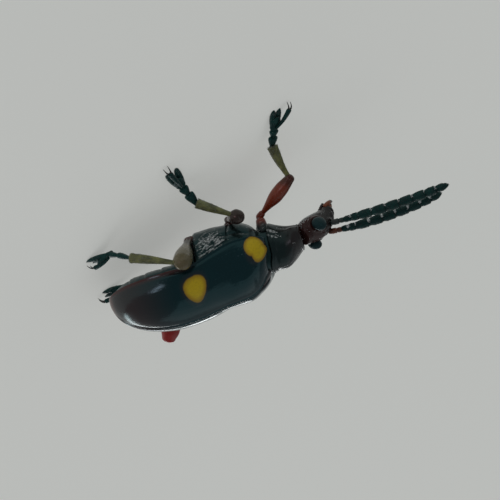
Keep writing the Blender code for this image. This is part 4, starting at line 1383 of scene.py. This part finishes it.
        first_end = ankle.lerp(root, 0.62)
        triangle(ankle - (root - ankle) * 0.16, first_end, 0.98, (0.0, 0.18))
        triangle(first_end - (root - ankle) * 0.10, root + ahead * 0.06, 0.96, (0.2, 0.38))
        neck_start, neck_end = root - ahead * 0.10, root + ahead * 0.34
        shell.tube(lambda s: neck_start.lerp(neck_end, s) - UP * (0.06 * s),
                   lambda s: (0.10 + 0.12 * smooth_step(s / 0.8), 0.09), UP, 20, 24, (0.05, 0.12),
                   (0.4, 0.5), floor=0.0)
        shell.egg(root + ahead * 0.37 - UP * 0.07, (ahead * 0.40, across * 0.23, UP * 0.10), 32, 20,
                  (0.8, 0.82), floor=0.0)
        spread = LOBE_SPREADS.get(name, LOBE_SPREAD)
        for k, turn in enumerate((1, -1)):
            along = (ahead + across * (spread * turn)).normalized()
            sideways = UP.cross(along)
            reach = along * (0.5 * LOBE_LENGTH)
            reach.z = -0.5 * (SOLE_SINK + root.z)
            centre = root + reach + across * (0.05 * turn)
            axes = (reach * 1.06, sideways * (0.56 * LOBE_WIDTH), UP * (0.46 * LOBE_DEPTH))
            shell.egg(centre, axes, 36, 26, (0.52 + 0.14 * k, 0.64 + 0.14 * k),
                      shape=lambda d: 1.0 - 0.05 * swell(d.x, -0.9, 0.5), floor=0.0)
        heel = root + ahead * (0.18 * LOBE_LENGTH) + UP * 0.06
        wrist = toe + (toe - heel).normalized() * -CLAW_LENGTH * 0.6 + UP * (CLAW_WIDTH + 0.02)

        def last_joint(s):
            return heel.lerp(wrist, s) + UP * (0.05 * math.sin(math.pi * s))

        shell.tube(last_joint, lambda s: (0.055 + 0.055 * smooth_step(s / 0.9), 0.05 + 0.045 * s), UP,
                   30, 22, (0.04, 0.06), (0.82, 1.0), floor=0.0)
        shell.finish(f"leg_{name}_foot", [f"leg_{name}_tarsus"], "tarsus", foot_skin)

        forward = toe - heel
        forward.z = 0.0
        forward.normalize()
        aside = UP.cross(forward)
        shell = Shell()
        for k, turn in enumerate((1, -1)):
            start = wrist - forward * 0.06 + aside * (0.03 * turn)
            middle = wrist + forward * (0.34 * CLAW_LENGTH) + aside * (0.48 * CLAW_WIDTH * turn) + UP * 0.03
            end = wrist + forward * (0.60 * CLAW_LENGTH) + aside * (0.52 * CLAW_WIDTH * turn)
            end.z = 0.018

            def hook(s):
                return start.lerp(middle, s).lerp(middle.lerp(end, s), s)

            shell.tube(hook, lambda s: (0.046 * (1.0 - 0.78 * s),) * 2, UP, 22, 14, (0.03, 0.015),
                       (0.5 * k, 0.5 * k + 0.48), floor=0.0)
        shell.finish(f"leg_{name}_claws", [f"leg_{name}_tarsus"], "tarsus", claw_skin)


class BEETLE_OT_hair(bpy.types.Operator):
    """Grow the short silver hair and the fringes, and white hair that is partly painted highlight"""

    bl_idname = "beetle.hair"
    bl_label = "Hair"

    def execute(self, context):
        looks = context.scene.beetle_looks
        length, thickness = looks.hair_length / MM, looks.hair_thickness / MM
        silver = hair_finish("silver_hair", tinted(looks.hair, 0.45))
        pale = hair_finish("pale_hair", tinted(looks.hair, 1.35))
        # Bluish-white hair for the flank, the pronotum's side, the head's rim and the antenna joints:
        # partly real hair, partly painted highlight
        white = hair_finish("white_hair_and_glints", (0.78, 0.98, 1.0))
        dark = hair_finish("dark_hair", (0.020, 0.030, 0.028))
        pieces = bpy.data.objects
        backwards = -BODY_AXES[0]
        thorax = pieces["hind_thorax_plates"]

        def on_flank(point):
            t, n = body_place(point)
            if n > elytron_margin(t) - 0.05:
                return 0.0
            return 0.004 + flank_folds(t, n) ** 2

        # White hair, thickest on the flank's folds: partly real pubescence, partly painted highlight of the
        # shining folds
        coat("flank_hair_and_glints", roots_on(thorax, 6800, 11, on_flank), toward(backwards), length,
             1.25 * thickness, white, "underside", 12, 0.12, 0.12)
        belly = pieces["abdomen_rings"]

        def on_belly(point):
            t, n = body_place(point)
            return n < elytron_margin(t) - 0.25

        coat("hair_belly", roots_on(belly, 1500, 13, on_belly), toward(backwards), 0.8 * length,
             0.8 * thickness, silver, "underside", 14, 0.3, 0.2)
        shield = pieces["pronotum_shield"]

        def on_cheek(point):
            t, n = body_place(point)
            return 0.0005 + in_patches(t, n, CHEEK_HAIR_AND_GLINT_PATCHES)

        # White hair in the pronotum's side patches: partly real pubescence, partly painted highlight
        # streaks
        coat("pronotum_hair_and_glints", roots_on(shield, 1600, 15, on_cheek), toward(BODY_AXES[0]), 0.9 * length,
             1.2 * thickness, white, "pronotum", 16, 0.12, 0.12)
        for side, word in SIDES:
            self.antenna_hair(side, word, pieces, dark, white)
        head = pieces["head_capsule"]

        def on_head_rim(point):
            f = (point - NECK).dot(HEAD_AXES[0])
            away = (point - in_head(f, 0.0, 0.05)).normalized()
            band = swell(away.dot(HEAD_RIM), 0.86, 0.10) * smooth_step(away.dot(SIGHT) / 0.2)
            return 0.0008 + band * swell(f, 0.50, 0.50)

        # White hair along the head's lit rim: partly a real fringe, partly painted rim highlight
        coat("head_rim_hair_and_glint", roots_on(head, 900, 41, on_head_rim), toward(HEAD_AXES[0]), 0.09, 0.012, white,
             "head", 42, 0.25, 0.30)
        for name in LEGS:
            self.leg_hair(name, silver, pale, pieces)
        return {"FINISHED"}

    def antenna_hair(self, side, word, pieces, dark, white):
        """Dark felt all over, and pale tufts where the joints meet, on one side of each: partly real pale
        hair, partly painted glints on the joints' rims.
        """
        flagellum = pieces[f"antenna_flagellum_{word}_joints"]
        ahead = (ANTENNA_TIPS[word] - antenna_spine(side, word, 0.0)).normalized()
        coat(f"hair_antenna_{word}", roots_on(flagellum, 3600, 21 + side), toward(ahead), 0.075, 0.008,
             dark, "antenna", 23 + side, 0.35, 0.35)
        tufts = []
        draw = np.random.default_rng(31 + side)
        below = Vector((0.22, 0.96, -0.06))
        below = (below - ahead * below.dot(ahead)).normalized()
        aside = ahead.cross(below)
        for joint in range(2, 10):
            centre = antenna_spine(side, word, ANTENNA_ENDS[joint + 1] - 0.008)
            radius = 0.46 * ANTENNA_WIDTH * (0.72 if joint < 4 else 0.96)
            for k in range(TUFT_HAIRS[word]):
                angle = float(draw.normal(0.0, 0.20))
                outward = below * math.cos(angle) + aside * math.sin(angle)
                root = centre + outward * radius + ahead * float(draw.uniform(-0.06, 0.03))
                tufts.append((root, outward, np.array((0.5 + angle / 7.0, (joint - 2) / 9.0 + 0.1))))
        # White tufts on one side of each joint: partly real pale hair, partly painted glints on the joint
        # rims
        coat(f"hair_antenna_{word}_tufts", tufts, toward(ahead), 0.080, 0.022, white, "antenna",
             35 + side, 0.3, 0.5)

    def leg_hair(self, name, silver, pale, pieces):
        """Short hair on shin, thigh and foot, longer at the hip."""
        leg = Leg(name)
        seed = 50 + 7 * list(LEGS).index(name)
        ahead = leg.ahead - UP * 0.15
        sole = SOLE_SINK + 0.5 * LOBE_DEPTH

        def on_shin(point):
            return 0.15 + smooth_step((point - leg.knee).dot(leg.shin) / 1.3 - 0.3)

        def on_rear(point):
            return 0.01 + smooth_step((leg.coxa.x - point.x - 0.10) / 0.16)

        def round_lobes(point):
            reach = smooth_step(((point - leg.root).dot(ahead) - 0.1) / 0.3)
            return 0.04 + swell(point.z, 0.5 * sole, 0.06) * reach

        coat(f"hair_{name}_shin", roots_on(pieces[f"leg_{name}_shin"], 620, seed, on_shin),
             toward(leg.shin), 0.10, 0.008, silver, "tibia", seed + 1, 0.2, 0.4)
        coat(f"hair_{name}_thigh", roots_on(pieces[f"leg_{name}_thigh"], 150, seed + 2),
             toward(leg.thigh), 0.08, 0.007, silver, "leg", seed + 3, 0.25, 0.3)
        coat(f"hair_{name}_hip", roots_on(pieces[f"leg_{name}_hip"], 320, seed + 4, on_rear),
             toward(leg.thigh), 0.13, 0.012, pale, "leg", seed + 5, 0.25, 0.35)
        coat(f"hair_{name}_foot", roots_on(pieces[f"leg_{name}_foot"], 620, seed + 6, round_lobes),
             lambda point, outward: ahead * 0.7 + outward, 0.075, 0.007, silver, "tarsus", seed + 7,
             0.3, 0.5)


def lamp(name, strength):
    """Soft lamp that shines at the place the camera looks at."""
    direction, distance, size, power, colour = LAMPS[name]
    light = bpy.data.lights.new(name, "AREA")
    light.shape = "RECTANGLE"
    light.size, light.size_y = (side * MM for side in size)
    light.energy = power * strength
    light.color = colour
    holder = bpy.data.objects.new(name, light)
    direction = Vector(direction).normalized()
    holder.matrix_world = (
        Matrix.Translation((AIM - MODEL_MIDDLE + direction * distance) * MM)
        @ direction.to_track_quat("Z", "Y").to_matrix().to_4x4()
    )
    bpy.context.scene.collection.objects.link(holder)


class BEETLE_OT_stage(bpy.types.Operator):
    """Set up the floor, the soft studio light and the camera"""

    bl_idname = "beetle.stage"
    bl_label = "Stage"

    def execute(self, context):
        scene = context.scene
        stage = scene.beetle_stage
        bm = bmesh.new()
        bmesh.ops.create_circle(bm, cap_ends=True, segments=96, radius=stage.floor_radius)
        bmesh.ops.translate(bm, verts=bm.verts, vec=(0.0, 0.0, -FLOOR_DROP))
        mesh = bpy.data.meshes.new("floor")
        bm.to_mesh(mesh)
        bm.free()
        made = Finish("floor_paper", Roughness=0.8, Specular_IOR_Level=0.2, Emission_Strength=stage.glow,
                      Emission_Color=(*stage.floor, 1.0))
        cloud = made.noise(40.0, 2.0)
        tone = tinted(stage.floor, 0.97)
        mesh.materials.append(made.give(Base_Color=made.colour(cloud, stage.floor, tone)))
        floor = bpy.data.objects.new("floor", mesh)
        scene.collection.objects.link(floor)

        world = bpy.data.worlds.new("soft_light")
        world.use_nodes = True
        background = world.node_tree.nodes["Background"]
        background.inputs["Color"].default_value = (*SKY, 1.0)
        background.inputs["Strength"].default_value = stage.sky
        scene.world = world
        scene.view_settings.view_transform = "Standard"

        ahead = Vector((math.sin(TURN) * math.cos(RISE), math.cos(TURN) * math.cos(RISE), math.sin(RISE)))
        level = Vector((math.cos(TURN), -math.sin(TURN), 0.0))
        down = Vector((-math.sin(TURN) * math.sin(RISE), -math.cos(TURN) * math.sin(RISE), math.cos(RISE)))
        right = level * math.cos(ROLL) + down * math.sin(ROLL)
        up = level * math.sin(ROLL) - down * math.cos(ROLL)
        camera = bpy.data.cameras.new("camera")
        camera.lens = LENS
        camera.sensor_width = SENSOR
        camera.clip_start = 0.001
        camera.clip_end = 50.0
        holder = bpy.data.objects.new("camera", camera)
        place = (AIM + ahead * DISTANCE - MODEL_MIDDLE) * MM
        holder.matrix_world = Matrix.Translation(place) @ Matrix((right, up, ahead)).transposed().to_4x4()
        scene.collection.objects.link(holder)
        scene.camera = holder

        for name in LAMPS:
            lamp(name, stage.lamps)
        return {"FINISHED"}


class BEETLE_PT_panel(bpy.types.Panel):
    """Lists the pieces, their colours and the stage"""

    bl_label = "Lily leaf beetle"
    bl_idname = "BEETLE_PT_panel"
    bl_space_type = "VIEW_3D"
    bl_region_type = "UI"
    bl_category = "Beetle"

    def draw(self, context):
        for step in STEPS:
            self.layout.operator(step.bl_idname)
        for group in (context.scene.beetle_looks, context.scene.beetle_stage):
            box = self.layout.box()
            for key in group.__class__.__annotations__:
                box.prop(group, key)


STEPS = (
    BEETLE_OT_stage,
    BEETLE_OT_elytra,
    BEETLE_OT_scutellum,
    BEETLE_OT_pronotum,
    BEETLE_OT_head,
    BEETLE_OT_eyes,
    BEETLE_OT_mouth,
    BEETLE_OT_antennae,
    BEETLE_OT_trunk,
    BEETLE_OT_legs,
    BEETLE_OT_hair,
)
CLASSES = (BeetleLooks, BeetleStage, *STEPS, BEETLE_PT_panel)


def register():
    for cls in CLASSES:
        bpy.utils.register_class(cls)
    bpy.types.Scene.beetle_looks = PointerProperty(type=BeetleLooks)
    bpy.types.Scene.beetle_stage = PointerProperty(type=BeetleStage)


def unregister():
    del bpy.types.Scene.beetle_stage
    del bpy.types.Scene.beetle_looks
    for cls in reversed(CLASSES):
        bpy.utils.unregister_class(cls)


def main():
    register()
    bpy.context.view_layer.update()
    for step in STEPS:
        group, name = step.bl_idname.split(".")
        getattr(getattr(bpy.ops, group), name)()
    bpy.context.view_layer.update()


if __name__ == "__main__":
    main()
